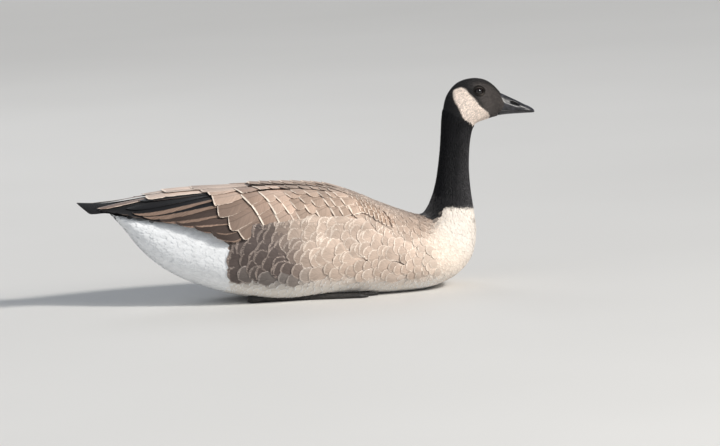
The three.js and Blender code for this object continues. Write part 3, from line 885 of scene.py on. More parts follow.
def capped(rings: Floats, turned: bool = False) -> tuple[Floats, Floats]:
    """Closes rings of points into a tube with a hub at each end.

    Args:
        rings: The points, ring after ring.
        turned: Whether the faces are made the other way round.

    Returns:
        The points with two hubs, and the faces as triangles.
    """
    count, around = rings.shape[:2]
    points = rings.reshape(-1, 3)
    faces = ring_faces(count, around)
    hubs = np.stack([rings[0].mean(0), rings[-1].mean(0)])
    j = np.arange(around)
    after = (j + 1) % around
    start = np.stack([after, j, np.full(around, len(points))], -1)
    end = np.stack([j, after, np.full(around, len(points) + 1)], -1)
    end[:, :2] += (count - 1) * around
    if turned:
        faces, start, end = (part[:, ::-1] for part in (faces, start, end))
    triangles = np.concatenate([faces[:, [0, 1, 2]], faces[:, [0, 2, 3]], start, end])
    return np.vstack([points, hubs]), triangles


def outward(points: Floats, faces: Floats) -> Floats:
    """A closed shell's triangles, turned round if they point inwards."""
    a, b, c = (points[faces[:, k]] for k in range(3))
    return faces[:, ::-1] if (a * np.cross(b, c)).sum() < 0 else faces


def on_side(points: Floats, faces: Floats, side: "Side") -> tuple[Floats, Floats]:
    """The points and faces of a shell made for the left, mirrored for the right."""
    return points * (1, side.value, 1), faces if side is Side.LEFT else faces[:, ::-1]


@dataclass
class Skin:
    """One closed skin of trunk, neck and head, inside the part's own by the coat's depth."""

    shape: BodyShape
    markings: Markings
    eye: "Eye"
    rings: int = 440
    around: int = 170
    depths: tuple[Pair, ...] = (
        (0.0, 1.6), (0.08, 2.4), (0.24, 2.8), (0.38, 2.8), (0.47, 2.2), (0.56, 1.6), (0.66, 1.1),
        (0.755, 1.1), (0.80, 0.35), (0.92, 0.35), (0.975, 0.3), (1.0, -0.3),
    )
    belly_clear: float = 0.6
    grid: dict[str, Floats] = field(init=False)
    socket: float = 4.2
    loral_point: float = 5.5

    def depth(self, t: Floats) -> Floats:
        """How deep the coat is at t, in millimetres."""
        return np.interp(t, *zip(*self.depths))

    def sweep(self, t: Floats, side: Floats) -> Floats:
        """How far the coat's lie turns up on the flank, in radians."""
        along = ramp(t, 0.20, 0.26) * (1 - ramp(t, 0.36, 0.44))
        return math.radians(36) * along * (ramp(side, 0.9, 1.5) * (1 - ramp(side, 2.5, 2.9)))

    def surface(self) -> dict[str, Floats]:
        """The skin's grid.

        Returns:
            For each grid point its t, turn, side (its turn folded to 0 below and pi above), place, lie, the
            sweep of the lie, and how many millimetres one unit of t and of turn are.
        """
        ts, turns = np.linspace(0, 1, self.rings), np.linspace(0, 2 * math.pi, self.around, endpoint=False)
        t, turn = np.meshgrid(ts, turns, indexing="ij")
        out, lie, around = self.shape.frame(t, turn)
        right = np.where(turn < math.pi, 1.0, -1.0)
        side = np.where(turn > math.pi, 2 * math.pi - turn, turn)
        angle = self.sweep(t, side)
        lie = unit(lie * np.cos(angle)[..., None] + around * (np.sin(angle) * right)[..., None])
        points = self.shape.point(t, turn)
        ahead = np.linalg.norm(np.gradient(points, axis=0), axis=-1) * (self.rings - 1)
        round_step = 2 * math.pi / self.around
        gap = np.roll(points, -1, axis=1) - np.roll(points, 1, axis=1)
        across = np.linalg.norm(gap, axis=-1) / (2 * round_step)
        points = points - out * (self.depth(t) + self.eye.socket(points, self.socket))[..., None]
        # The feathers reach forward in a point on the bill's side, and less at its lower edge.
        rise = 0.5 - 0.5 * np.cos(turn)
        forward = self.loral_point * np.exp(-(((rise - 0.55) / 0.25) ** 2))
        forward = forward - 2.0 * np.exp(-(((rise - 0.12) / 0.12) ** 2))
        points[..., 0] += forward * ramp(t, 0.955, 1.0)
        points[..., 2] = np.maximum(points[..., 2], self.belly_clear)
        return {
            "t": t, "turn": turn, "side": side, "points": points, "lie": lie, "angle": angle,
            "ahead": np.maximum(ahead, 60.0), "across": np.maximum(across, 6.0),
        }

    def make(self, material: Material) -> Piece:
        """Builds the skin.

        Args:
            material: Its finish.

        Returns:
            The skin, whose points also carry its markings and its unwrap.
        """
        grid = self.grid = self.surface()
        ground, edge = self.markings.paint(grid["t"], grid["side"])
        unwrap = np.stack([grid["t"], grid["turn"] / (2 * math.pi)], -1)
        closed, faces = capped(grid["points"])

        def ends(rows: Floats) -> Floats:
            """The rows of the grid with one more for each end."""
            rows = rows.reshape(-1, rows.shape[-1])
            return np.vstack([rows, rows[0], rows[-1]])

        colours = {"Ground": ends(ground), "Edge": ends(edge)}
        return mesh_object("skin", closed, faces[:, ::-1], material, colours, {"OFBake": ends(unwrap)})


@dataclass(frozen=True)
class Cut:
    """The outline of a small feather: half widths along it as shares, with how many points cross it."""

    name: str
    rings: tuple[Pair, ...]
    across: int
    notches: int = 0
    camber: float = 0.12
    thick: float = 0.11

    def make(self, seed: int) -> Piece:
        """Builds one closed feather, one long and one wide, whose height rises from its root to 1 at its tip.

        Args:
            seed: What its edge's small differences are drawn from.

        Returns:
            The feather's object.
        """
        random = np.random.default_rng(seed)
        spans = np.linspace(-1, 1, self.across)
        points, vane = [], []
        for index, (along, half) in enumerate(self.rings):
            left, right = 1 + 0.14 * random.uniform(-1, 1, 2)
            if self.notches and index % 2 and index > 1:
                left, right = left * 0.9, right * 0.9
            for span in spans:
                edge = left if span < 0 else right
                arch = self.camber * (1 - span**2) * math.sin(math.pi * (0.1 + 0.8 * along))
                height = 0.15 + 0.85 * along**1.15 + arch
                points.append((along - 0.05 * span**2 * (1 - along), 0.5 * half * span * edge, height))
                vane.append((0.5 + 0.5 * span, along))
            points.append((along, 0.0, points[-1][2] - self.thick * (0.4 + 0.6 * half)))
            vane.append((0.5, along))
        closed, faces = capped(np.array(points).reshape(len(self.rings), -1, 3) / MM, turned=True)
        rows = np.array(vane + [vane[0], vane[-1]])
        return mesh_object(f"{self.name}_{seed}", closed, faces, None, None, {"Vane": rows})


BODY_CUT = Cut("body_cut", ((0, 0.4), (0.4, 0.85), (0.72, 1.0), (0.9, 0.72), (1.0, 0.14)), 5)
FLANK_CUT = Cut(
    "flank_cut",
    ((0, 0.4), (0.4, 0.86), (0.7, 1.0), (0.83, 0.95), (0.92, 0.7), (0.97, 0.46), (1.0, 0.16)),
    5,
    notches=1,
)
TUFT_CUT = Cut("tuft_cut", ((0, 0.6), (0.55, 1.0), (1.0, 0.16)), 3, camber=0.3)


@dataclass(frozen=True)
class Plumage:
    """One stretch of small feathers: its span, and its feathers' spacing, size and set in millimetres."""

    name: str
    cut: Cut
    slot: str
    finish: FeatherFinish
    t_from: float
    t_to: float
    side_from: float
    side_to: float
    spacing: float
    length: float
    width: float
    rise: float
    trim: Triple
    spread: float = 0.18
    size_by_t: Pair = (1.0, 1.0)
    seed: int = 1

    def covers(self, t: Floats, side: Floats) -> Floats:
        """1 where the stretch lies and 0 elsewhere."""
        along = (t >= self.t_from) & (t < self.t_to)
        return (along & (side >= self.side_from) & (side < self.side_to)).astype(float)

    def size(self, t: Floats) -> Floats:
        """How large the feathers rooted at t are beside the stretch's own length and width."""
        return mix(*self.size_by_t, np.clip((t - self.t_from) / (self.t_to - self.t_from), 0, 1))


class CoatTree:
    """The geometry tree that scatters small feathers over the skin and lays them along it."""

    inputs = {
        "Geometry": "Geometry", "Skin": "Object", "Feathers": "Collection", "Spacing": "Float",
        "Length": "Float", "Width": "Float", "Rise": "Float", "Spread": "Float", "Patch": "Float",
        "Seed": "Int", "Finish": "Material",
    }
    crowding = 2.6  # roots tried on each square of the spacing, before those that stand too close go

    def __init__(self) -> None:
        """Builds the tree."""
        self.group = bpy.data.node_groups.new("LayPlumage", "GeometryNodeTree")
        self.sockets = {}
        for name, kind in self.inputs.items():
            kind = f"NodeSocket{kind}"
            item = self.group.interface.new_socket(name=name, in_out="INPUT", socket_type=kind)
            self.sockets[name] = item.identifier
        self.group.interface.new_socket(name="Geometry", in_out="OUTPUT", socket_type="NodeSocketGeometry")
        tree = NodeTree(self.group)
        given = tree.add("NodeGroupInput").outputs
        seed, spacing = given["Seed"], given["Spacing"]
        density = tree.maths("DIVIDE", self.crowding, tree.times(spacing, spacing))
        scatter = tree.add(
            "GeometryNodeDistributePointsOnFaces",
            {"Mesh": given["Geometry"], "Distance Min": spacing, "Density Max": density, "Seed": seed},
            distribute_method="POISSON",
        )
        position = tree.out("GeometryNodeInputPosition")
        points = tree.store(scatter.outputs["Points"], "Root", position, "POINT")
        points = tree.store(points, "Out", scatter.outputs["Normal"], "POINT")
        wander = tree.random("FLOAT_VECTOR", (-1, -1, -1), (1, 1, 1), seed)
        ahead = tree.vector("ADD", tree.named("Lie"), tree.vector("SCALE", wander, given["Spread"]))
        rotation = tree.out(
            "FunctionNodeAxesToRotation",
            {"Primary Axis": tree.named("Out"), "Secondary Axis": ahead},
            primary_axis="Z",
            secondary_axis="X",
        )
        drawn = tree.random("FLOAT", 0.86, 1.14, tree.maths("ADD", seed, 7.0))
        scale = tree.times(drawn, tree.named("Scale", "FLOAT"))
        length = tree.times(given["Length"], scale)
        width = tree.times(given["Width"], scale)
        size = tree.out("ShaderNodeCombineXYZ", {0: length, 1: width, 2: given["Rise"]})
        feathers = tree.out(
            "GeometryNodeCollectionInfo",
            {"Collection": given["Feathers"], "Separate Children": True, "Reset Children": True},
        )
        laid = tree.out(
            "GeometryNodeInstanceOnPoints",
            {
                "Points": points,
                "Instance": feathers,
                "Pick Instance": True,
                "Instance Index": tree.random("INT", 0, 99, tree.maths("ADD", seed, 3.0)),
                "Rotation": rotation,
                "Scale": size,
            },
        )
        chance = tree.random("FLOAT", 0.0, 1.0, tree.maths("ADD", seed, 5.0))
        laid = tree.store(laid, "Chance", chance, "INSTANCE", "FLOAT")
        mesh = tree.out("GeometryNodeRealizeInstances", {"Geometry": laid})
        mesh = self.fit(tree, mesh, given["Skin"])
        mesh = self.bake_map(tree, mesh, given["Patch"])
        dressed = {"Geometry": mesh, "Material": given["Finish"]}
        mesh = tree.out("GeometryNodeSetMaterial", dressed)
        tree.add("NodeGroupOutput", {0: mesh})

    def fit(self, tree: NodeTree, mesh: Socket, skin: Socket) -> Socket:
        """Bends the feathers round the skin, so that each point keeps its own height over it.

        Args:
            tree: The tree.
            mesh: The feathers as they were laid.
            skin: The skin's object.

        Returns:
            The bent feathers.
        """
        target = tree.add("GeometryNodeObjectInfo", {"Object": skin}).outputs["Geometry"]
        position = tree.out("GeometryNodeInputPosition")
        normal = tree.out("GeometryNodeInputNormal")
        nearest, upward = (
            tree.out(
                "GeometryNodeSampleNearestSurface",
                {"Mesh": target, "Value": value},
                data_type="FLOAT_VECTOR",
            )
            for value in (position, normal)
        )
        reach = tree.vector("SUBTRACT", position, tree.named("Root"))
        height = tree.vector("DOT_PRODUCT", reach, tree.named("Out"))
        placed = tree.vector("ADD", nearest, tree.vector("SCALE", upward, height))
        return tree.out("GeometryNodeSetPosition", {"Geometry": mesh, "Position": placed})

    def bake_map(self, tree: NodeTree, mesh: Socket, patch: Socket) -> Socket:
        """Gives each feather a small patch at its root's place on the skin's unwrap.

        Args:
            tree: The tree.
            mesh: The feathers.
            patch: How wide a patch is.

        Returns:
            The feathers with their map.
        """
        centred = tree.vector("SUBTRACT", tree.named("Vane"), (0.5, 0.5, 0.0))
        place = tree.vector("ADD", tree.named("Unwrap"), tree.vector("SCALE", centred, patch))
        return tree.store(mesh, "OFBake", place, "CORNER", "FLOAT2")


@dataclass
class Coat:
    """Lays the plumage's stretches over the skin and its object."""

    skin: Skin
    body: Piece
    tree: CoatTree
    shown: float = 0.82  # where along a feather its visible part lies
    cuts: int = 4  # how many feathers of a cut differ

    def tips(self, plumage: Plumage) -> tuple[Floats, Floats, Floats]:
        """Where the shown part of a feather would lie for a root at each grid point.

        Args:
            plumage: The stretch.

        Returns:
            Its t and side, and 1 where neither root nor tip is at the eye.
        """
        grid = self.skin.grid
        size = plumage.size(grid["t"])
        reach = self.shown * plumage.length * size
        t = grid["t"] - reach * np.cos(grid["angle"]) / grid["ahead"]
        side = grid["side"] + reach * np.sin(grid["angle"]) / grid["across"]
        side = np.clip(side, 0, math.pi)
        ends = grid["points"] + grid["lie"] * (plumage.length * size)[..., None]
        clear = self.skin.eye.clear(grid["points"], 0.3) * self.skin.eye.clear(ends, -0.6)
        return t, side, clear

    def ground_for(self, plumage: Plumage) -> Piece:
        """The part of the skin that a stretch is rooted in, with the coat's attributes.

        Args:
            plumage: The stretch.

        Returns:
            A stand-in that the tree scatters over.
        """
        grid = self.skin.grid
        tip_t, tip_side, clear = self.tips(plumage)
        keep = plumage.covers(tip_t, tip_side) * clear > 0
        around = keep.shape[1]
        quads = ring_faces(*keep.shape)
        quads = quads[(quads % around).max(1) - (quads % around).min(1) < around // 2]
        quads = quads[keep.ravel()[quads].all(1)]
        used, renumbered = np.unique(quads, return_inverse=True)
        faces = renumbered.reshape(-1, 4)[:, ::-1]
        ground, edge = self.skin.markings.paint(tip_t, tip_side)
        unwrap = np.stack([grid["t"], grid["turn"] / (2 * math.pi), 0 * grid["t"]], -1).reshape(-1, 3)[used]
        low, span = unwrap.min(0), np.maximum(np.ptp(unwrap, axis=0), 1e-6)
        colours = {
            "Lie": grid["lie"].reshape(-1, 3)[used],
            "Ground": ground.reshape(-1, 3)[used],
            "Edge": edge.reshape(-1, 3)[used],
            "Unwrap": 0.02 + 0.96 * (unwrap - low) / span,
            "Trim": np.tile(plumage.trim, (len(used), 1)),
            "Scale": plumage.size(grid["t"].ravel()[used]),
        }
        return mesh_object(plumage.name, grid["points"].reshape(-1, 3)[used], faces, None, colours)

    def lay(self, plumage: Plumage) -> Piece:
        """Makes one stretch of the coat.

        Args:
            plumage: The stretch.

        Returns:
            A plain mesh object of all its feathers.
        """
        cuts = bpy.data.collections.new(f"{plumage.name}_cuts")
        made = [plumage.cut.make(seed) for seed in range(self.cuts)]
        for cut in made:
            bpy.context.scene.collection.objects.unlink(cut)
            cuts.objects.link(cut)
        ground = self.ground_for(plumage)
        modifier = ground.modifiers.new("LayPlumage", "NODES")
        modifier.node_group = self.tree.group
        values = {"Skin": self.body, "Feathers": cuts, "Spread": plumage.spread, "Patch": PATCH}
        values |= {"Seed": plumage.seed, "Finish": plumage.finish.make()}
        for name in ("Spacing", "Length", "Width", "Rise"):
            values[name] = getattr(plumage, name.lower()) * MM
        for name, value in values.items():
            modifier[self.tree.sockets[name]] = value
        bpy.context.view_layer.update()
        graph = bpy.context.evaluated_depsgraph_get()
        mesh = bpy.data.meshes.new_from_object(ground.evaluated_get(graph), depsgraph=graph)
        mesh.name = plumage.name
        mesh.materials.pop(index=0)
        ground.modifiers.clear()
        old = ground.data
        ground.data = mesh
        bpy.data.meshes.remove(old)
        for cut in made:
            bpy.data.objects.remove(cut)
        bpy.data.collections.remove(cuts)
        for spare in ("Root", "Out", "Lie", "Unwrap", "Scale"):
            if spare in mesh.attributes:
                mesh.attributes.remove(mesh.attributes[spare])
        mesh.shade_smooth()
        mesh.set_sharp_from_angle(angle=SHARP)
        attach(ground, BODY)
        log.info("%s: %d faces", plumage.name, len(mesh.polygons))
        return ground


class Outline(Enum):
    """A long feather's outline: half widths along it as shares."""

    ROUND = ((0.0, 0.55), (0.3, 0.85), (0.6, 1.0), (0.82, 0.94), (0.93, 0.72), (0.985, 0.36), (1.0, 0.06))
    BLUNT = ((0.0, 0.6), (0.5, 0.92), (0.86, 1.0), (0.95, 0.92), (0.985, 0.72), (1.0, 0.35))
    SQUARE = ((0.0, 0.6), (0.6, 0.95), (0.92, 1.0), (0.975, 0.95), (0.992, 0.84), (1.0, 0.62))
    LONG = ((0.0, 0.7), (0.5, 1.0), (0.75, 0.9), (0.9, 0.62), (0.97, 0.34), (1.0, 0.05))


class Side(Enum):
    """A side of the bird, by the sign of y there."""

    LEFT = 1
    RIGHT = -1

    @property
    def word(self) -> str:
        """The side as pieces and nodes are named."""
        return self.name.lower()


@dataclass(frozen=True)
class Vane:
    """One long feather: its root and tip in its sheet's coordinates, its outline, set and colours."""

    root: Pair
    tip: Pair
    half: float
    outline: Outline = Outline.ROUND
    lift: Pair = (0.0, 3.0)
    tilt: float = 0.9
    ground: Tone = Tone.COVERT
    edge: Tone = Tone.FRINGE
    trim: Triple = (0.12, 0.12, 0.05)
    shade: float = 1.0


@dataclass
class VaneBed:
    """Builds long feathers on a sheet, as shells of so many points along, across and under them."""

    sheet: Sheet
    along: int = 26
    across: int = 11
    under: int = 3
    thick: float = 0.45

    def shell(self, vane: Vane, random: np.random.Generator) -> tuple[Floats, Floats]:
        """One feather.

        Args:
            vane: What it is.
            random: Where its small differences come from.

        Returns:
            Its ring points in millimetres, and the place of each on the vane.
        """
        s = 1 - (1 - np.linspace(0, 1, self.along)) ** 1.35
        shape = np.array(vane.outline.value)
        wide = np.interp(s, shape[:, 0], shape[:, 1])
        a = mix(vane.root[0], vane.tip[0], s)
        b = mix(vane.root[1], vane.tip[1], s)
        along, down, out = sheet_frame(self.sheet, a, b)
        ahead = unit(along * (vane.tip[0] - vane.root[0]) + down * (vane.tip[1] - vane.root[1]))
        across = unit(np.cross(ahead, out))
        across = np.where(dot(across, down) < 0, -across, across)
        aa, ab, bb = dot(along, along), dot(along, down), dot(down, down)
        pa, pb = dot(across, along), dot(across, down)
        det = aa * bb - ab * ab
        step_a, step_b = (pa * bb - pb * ab) / det, (pb * aa - pa * ab) / det
        # The edges are a little ragged, and split once or twice on one side.
        spans = np.linspace(-1, 1, self.across)
        ragged = 1 + 0.035 * random.uniform(-1, 1, (self.along, 1)) * (np.abs(spans) > 0.99)
        split = np.zeros(self.along)
        for _ in range(random.integers(0, 3)):
            at = random.integers(self.along // 2, self.along - 3)
            split[at] = random.uniform(0.05, 0.16)
        side = -1 if random.random() < 0.5 else 1
        ragged = ragged - split[:, None] * (spans * side > 0.99)
        reach = spans * vane.half * wide[:, None] * ragged
        # The vane runs back towards its edges, and rises to its middle.
        back = -0.25 * vane.half * spans**2 * (0.3 + 0.7 * s[:, None])
        back = back * np.clip((1 - s[:, None]) * 6, 0, 1)
        length = np.linalg.norm(self.sheet.point(*vane.root) - self.sheet.point(*vane.tip))
        slide = -back / length
        top_a = a[:, None] + step_a * reach + (vane.tip[0] - vane.root[0]) * slide
        top_b = b[:, None] + step_b * reach + (vane.tip[1] - vane.root[1]) * slide
        height = mix(vane.lift[0], vane.lift[1], s)[:, None] + spans * vane.tilt
        height = height + 0.35 * (1 - spans**2) * np.sin(math.pi * np.clip(s, 0.05, 0.97))[:, None]
        rows = [self.sheet.point(top_a, top_b) + out[:, None, :] * height[..., None]]
        picks = np.linspace(self.across - 1, 0, self.under + 2)[1:-1].astype(int)
        low = self.sheet.point(top_a[:, picks], top_b[:, picks])
        rows.append(low + out[:, None, :] * (height[:, picks] - self.thick)[..., None])
        vane_map = np.stack(np.broadcast_arrays(0.5 + 0.5 * spans * np.sqrt(wide[:, None]), s[:, None]), -1)
        vane_map = np.concatenate([vane_map, vane_map[:, picks]], 1)
        return np.concatenate(rows, 1), vane_map

    def build(
        self, name: str, vanes: Sequence[Vane], material: Material, seed: int, side: Side = Side.LEFT
    ) -> Piece:
        """All the feathers of a bed as one mesh.

        Args:
            name: The object's name.
            vanes: The feathers.
            material: Their finish.
            seed: What their small differences are drawn from.
            side: The side they lie on, right mirrored from left.

        Returns:
            The object.
        """
        random = np.random.default_rng(seed)
        cells = math.ceil(math.sqrt(len(vanes)))
        points, faces, ground, edge, trim, chance, maps, bakes = [], [], [], [], [], [], [], []
        for index, vane in enumerate(vanes):
            rings, vane_map = self.shell(vane, random)
            closed, shell_faces = capped(rings)
            faces.append(shell_faces + sum(len(p) for p in points))
            points.append(closed)
            count = len(closed)
            tone = vane.shade * (1 + 0.07 * random.uniform(-1, 1))
            ground.append(np.tile(np.array(vane.ground.value) * tone, (count, 1)))
            edge.append(np.tile(np.array(vane.edge.value) * (0.5 + 0.5 * tone), (count, 1)))
            trim.append(np.tile(vane.trim, (count, 1)))
            chance.append(np.full(count, random.random()))
            rows = vane_map.reshape(-1, 2)
            rows = np.vstack([rows, [0.5, 0.0], [0.5, 1.0]])
            maps.append(rows)
            cell = np.array([index % cells, index // cells])
            bakes.append((cell + 0.06 + 0.88 * np.clip(rows, 0, 1)) / cells)
        points, faces = on_side(np.vstack(points), np.vstack(faces), side)
        colours = {"Ground": np.vstack(ground), "Edge": np.vstack(edge), "Trim": np.vstack(trim)}
        colours["Chance"] = np.concatenate(chance)
        unwraps = {"Vane": np.vstack(maps), "OFBake": np.vstack(bakes)}
        made = mesh_object(name, points, faces, material, colours, unwraps)
        made.data.set_sharp_from_angle(angle=SHARP)
        log.info("%s: %d feathers, %d faces", name, len(vanes), len(faces))
        return made


@dataclass(frozen=True)
class Row:
    """A row of feathers whose tips stand on a line over the wing's sheet, sized in millimetres."""

    tips: tuple[Pair, ...]
    count: int
    length: float
    slope: float = 28.0
    half: float = 14.0
    outline: Outline = Outline.SQUARE
    ground: Tone = Tone.COVERT
    edge: Tone = Tone.FRINGE
    trim: Triple = (0.06, 0.10, 0.045)
    lift: Pair = (-0.6, 3.2)
    shade: Pair = (1.0, 1.0)
    jitter: float = 1.0
    tilt: Pair = (0.9, 0.9)

    def vanes(self, sheet: WingSheet, random: np.random.Generator) -> list[Vane]:
        """The row's feathers.

        Args:
            sheet: What they lie on.
            random: Where their small differences come from.

        Returns:
            The feathers, from the back's middle to the lower edge.
        """
        line = np.array(self.tips, float)
        knots = np.linspace(0, 1, len(line))
        made = []
        for share in (np.arange(self.count) + 0.5) / self.count:
            x = np.interp(share, knots, line[:, 0]) + self.jitter * random.uniform(-1, 1)
            level = np.interp(share, knots, line[:, 1]) + 0.006 * self.jitter * random.uniform(-1, 1)
            size = 1 + 0.06 * random.uniform(-1, 1)
            arc = np.linalg.norm(sheet.point(x, level + 0.01) - sheet.point(x, level - 0.01)) / 0.02
            angle = math.radians(self.slope * (0.4 + 0.6 * ramp(level, 0.05, 0.4)))
            rise = self.length * size * math.sin(angle) / arc
            root = (min(x + self.length * size * math.cos(angle), sheet.front), max(level - rise, 0.012))
            made.append(
                Vane(
                    root, (x, level), self.half * size, self.outline, self.lift,
                    mix(*self.tilt, share), self.ground, self.edge, self.trim, mix(*self.shade, share),
                )
            )
        return made


@dataclass
class Wing:
    """A folded wing: its bed of flesh and its feathers in tiers, from the wing's tip to the shoulder."""

    sheet: WingSheet = field(default_factory=WingSheet)
    sink: float = 2.6
    bed_front: float = 90.0
    bed_rings: int = 110
    bed_steps: int = 24
    row_seed: int = 12
    feather_seed: int = 22

    def quills(self) -> list[Vane]:
        """Primaries, secondaries and tertials.

        Returns:
            The feathers, from the lowest of the pile to the topmost.
        """
        black, brown, long = Tone.QUILL_BLACK, Tone.QUILL, Outline.LONG
        primaries = [
            Vane(root, tip, half, long, lift, 0.4, black, Tone.QUILL_EDGE, (outer, inner, 0.0))
            for root, tip, half, lift, outer, inner in (
                ((-170, 0.45), (-299, 0.62), 8.5, (-1.6, -0.2), 0.0, 0.1),
                ((-165, 0.6), (-291, 0.76), 8.5, (-1.5, 0.0), 0.14, 0.0),
                ((-160, 0.72), (-277, 0.88), 8.5, (-1.4, 0.2), 0.3, 0.0),
                ((-150, 0.8), (-262, 0.95), 8.5, (-1.3, 0.3), 0.34, 0.0),
                ((-146, 0.86), (-246, 0.985), 8.0, (-1.2, 0.4), 0.2, 0.0),
            )
        ]
        secondaries = [
            Vane(root, tip, half, long, lift, 1.3, ground, Tone.STRIPE, (outer, 0.0, 0.0), shade)
            for root, tip, half, lift, ground, outer, shade in (
                ((-120, 0.24), (-262, 0.72), 9.0, (-0.8, 0.9), black, 0.0, 1.0),
                ((-118, 0.33), (-254, 0.92), 9.5, (-0.7, 1.2), black, 0.66, 1.0),
                ((-116, 0.45), (-241, 0.97), 10.5, (-0.6, 1.3), black, 0.62, 1.0),
                ((-112, 0.58), (-219, 0.985), 11.5, (-0.5, 1.4), brown, 0.34, 1.1),
                ((-106, 0.68), (-197, 0.985), 11.5, (-0.5, 1.5), brown, 0.22, 1.1),
                ((-98, 0.77), (-173, 0.985), 11.5, (-0.4, 1.6), brown, 0.14, 1.1),
                ((-92, 0.85), (-150, 0.985), 11.0, (-0.4, 1.7), brown, 0.1, 1.0),
            )
        ]
        tertials = [
            Vane(root, tip, half, outline, lift, tilt, ground, edge, trim)
            for root, tip, half, outline, lift, tilt, ground, edge, trim in (
                ((-150, 0.04), (-302, 0.42), 9.5, long, (-0.5, 1.6), 0.8,
                 Tone.TERTIAL_LONG, Tone.TERTIAL, (0.32, 0.1, 0.02)),
                ((-128, 0.24), (-243, 0.38), 12.0, long, (-0.3, 1.9), 1.0,
                 black, Tone.TERTIAL_LONG, (0.1, 0.0, 0.0)),
                ((-108, 0.16), (-232, 0.255), 17.0, Outline.BLUNT, (-0.2, 3.2), 1.1,
                 Tone.TERTIAL, Tone.FRINGE, (0.16, 0.2, 0.025)),
                ((-98, 0.08), (-205, 0.12), 13.5, Outline.BLUNT, (0.2, 3.8), 0.9,
                 Tone.TERTIAL, Tone.FRINGE, (0.22, 0.15, 0.03)),
            )
        ]
        return primaries + secondaries + tertials

    def rows(self) -> list[Row]:
        """Coverts and scapulars.

        Returns:
            The rows, from the rear forwards.
        """
        dark, brown, tan = Tone.COVERT_DARK, Tone.COVERT, Tone.SCAPULAR
        blunt, square, rounded = Outline.BLUNT, Outline.SQUARE, Outline.ROUND
        return [
            Row(((-145, 0.60), (-131, 0.74), (-119, 0.87), (-106, 0.97)),
                3, 60, 20, 13.5, blunt, dark, trim=(0.05, 0.05, 0.022), shade=(1.0, 0.85)),
            Row(((-151, 0.2), (-146, 0.38), (-141, 0.6)),
                2, 66, 18, 16.5, square, brown, trim=(0.05, 0.06, 0.028), shade=(1.25, 1.0)),
            Row(((-170, 0.02), (-152, 0.28)),
                2, 78, 10, 14.0, blunt, Tone.TERTIAL, trim=(0.1, 0.08, 0.03), shade=(0.9, 0.9)),
            Row(((-110, 0.13), (-103, 0.40), (-98, 0.53), (-92, 0.63), (-84, 0.79), (-77, 0.9)),
                4, 52, 26, 14.5, square, dark, Tone.CREAM, (0.03, 0.04, 0.045), shade=(1.75, 1.1)),
            Row(((-86, 0.10), (-78, 0.31), (-73, 0.5), (-66, 0.63), (-60, 0.79), (-55, 0.88)),
                4, 46, 27, 14.5, square, brown, Tone.CREAM, (0.03, 0.04, 0.05), shade=(1.3, 1.05)),
            Row(((-66, 0.10), (-61, 0.3), (-55, 0.52), (-48, 0.65), (-41, 0.77), (-34, 0.87)),
                4, 44, 28, 13.5, blunt, brown, trim=(0.05, 0.06, 0.045), shade=(1.35, 1.15)),
            Row(((-52, 0.10), (-44, 0.3), (-39, 0.46), (-35, 0.6), (-31, 0.75), (-26, 0.86)),
                4, 42, 28, 13.5, rounded, tan, trim=(0.05, 0.07, 0.05), shade=(1.0, 0.95)),
            Row(((-40, 0.10), (-34, 0.3), (-27, 0.46), (-20, 0.6), (-14, 0.75)),
                4, 42, 28, 13.0, rounded, tan, trim=(0.05, 0.07, 0.055)),
            Row(((-25, 0.10), (-17, 0.3), (-8, 0.5), (-6, 0.65), (0, 0.82)),
                4, 42, 28, 14.0, rounded, tan, trim=(0.06, 0.08, 0.055), shade=(1.0, 0.95)),
            Row(((-9, 0.08), (0, 0.3), (8, 0.5), (12, 0.63), (22, 0.80)),
                4, 40, 28, 13.5, rounded, tan, trim=(0.08, 0.12, 0.065)),
            Row(((4, 0.10), (12, 0.3), (18, 0.46), (22, 0.64), (36, 0.76)),
                4, 38, 28, 13.0, rounded, tan, trim=(0.1, 0.14, 0.075)),
            Row(((16, 0.10), (24, 0.28), (29, 0.4), (38, 0.6), (48, 0.72)),
                4, 36, 28, 12.5, rounded, tan, trim=(0.12, 0.16, 0.08)),
            Row(((-92, 0.05), (30, 0.06)),
                8, 46, 0, 11.0, rounded, tan, trim=(0.08, 0.08, 0.055), lift=(-0.4, 3.7), shade=(0.9, 1.0)),
        ]

    def crease(self, x: float) -> float:
        """The share at which the shoulder's feathers part from the side breast's."""
        places = (30, 54, 66, 75, 86, 96, 112)
        return float(np.interp(x, places, (0.64, 0.66, 0.71, 0.77, 0.81, 0.83, 0.86)))

    def fore_rows(self) -> list[Row]:
        """Small feathers at the wing's front.

        Returns:
            The side breast's rows below the crease, then the shoulder's above it.
        """
        made = []
        for x in np.arange(26.0, 100.0, 8.5):
            top = self.crease(x) + 0.02
            made.append(
                Row(
                    ((x - 3, top), (x, mix(top, 1.08, 0.5)), (x + 2, 1.08)),
                    4, 30, -16, 8.5, Outline.ROUND, Tone.FLANK, Tone.FLANK_EDGE, (0.1, 0.1, 0.05),
                    (-2.6, 0.1), (1.0, 1.05), 2, tilt=(0.2, 0.2),
                )
            )
        for x in np.arange(30.0, 98.0, 6.2):
            low = self.crease(x + 8) - 0.03
            fore = float(ramp(x, 66.0, 98.0))
            lift = (-1.8 - 6.0 * fore, 1.7 - 0.9 * fore)
            ground, edge = (Tone.MANTLE, Tone.MANTLE_EDGE) if x > 84.0 else (Tone.SHOULDER, Tone.FRINGE)
            made.append(
                Row(
                    ((x - 5, 0.04), (x + 1, 0.26), (x + 6, 0.5), (x + 9, low)),
                    4, 28 - 6 * fore, 24, 10.0, Outline.ROUND, ground, edge, (0.14, 0.18, 0.09),
                    lift, (1.05, 1.1), tilt=(0.2, 1.7),
                )
            )
        return made

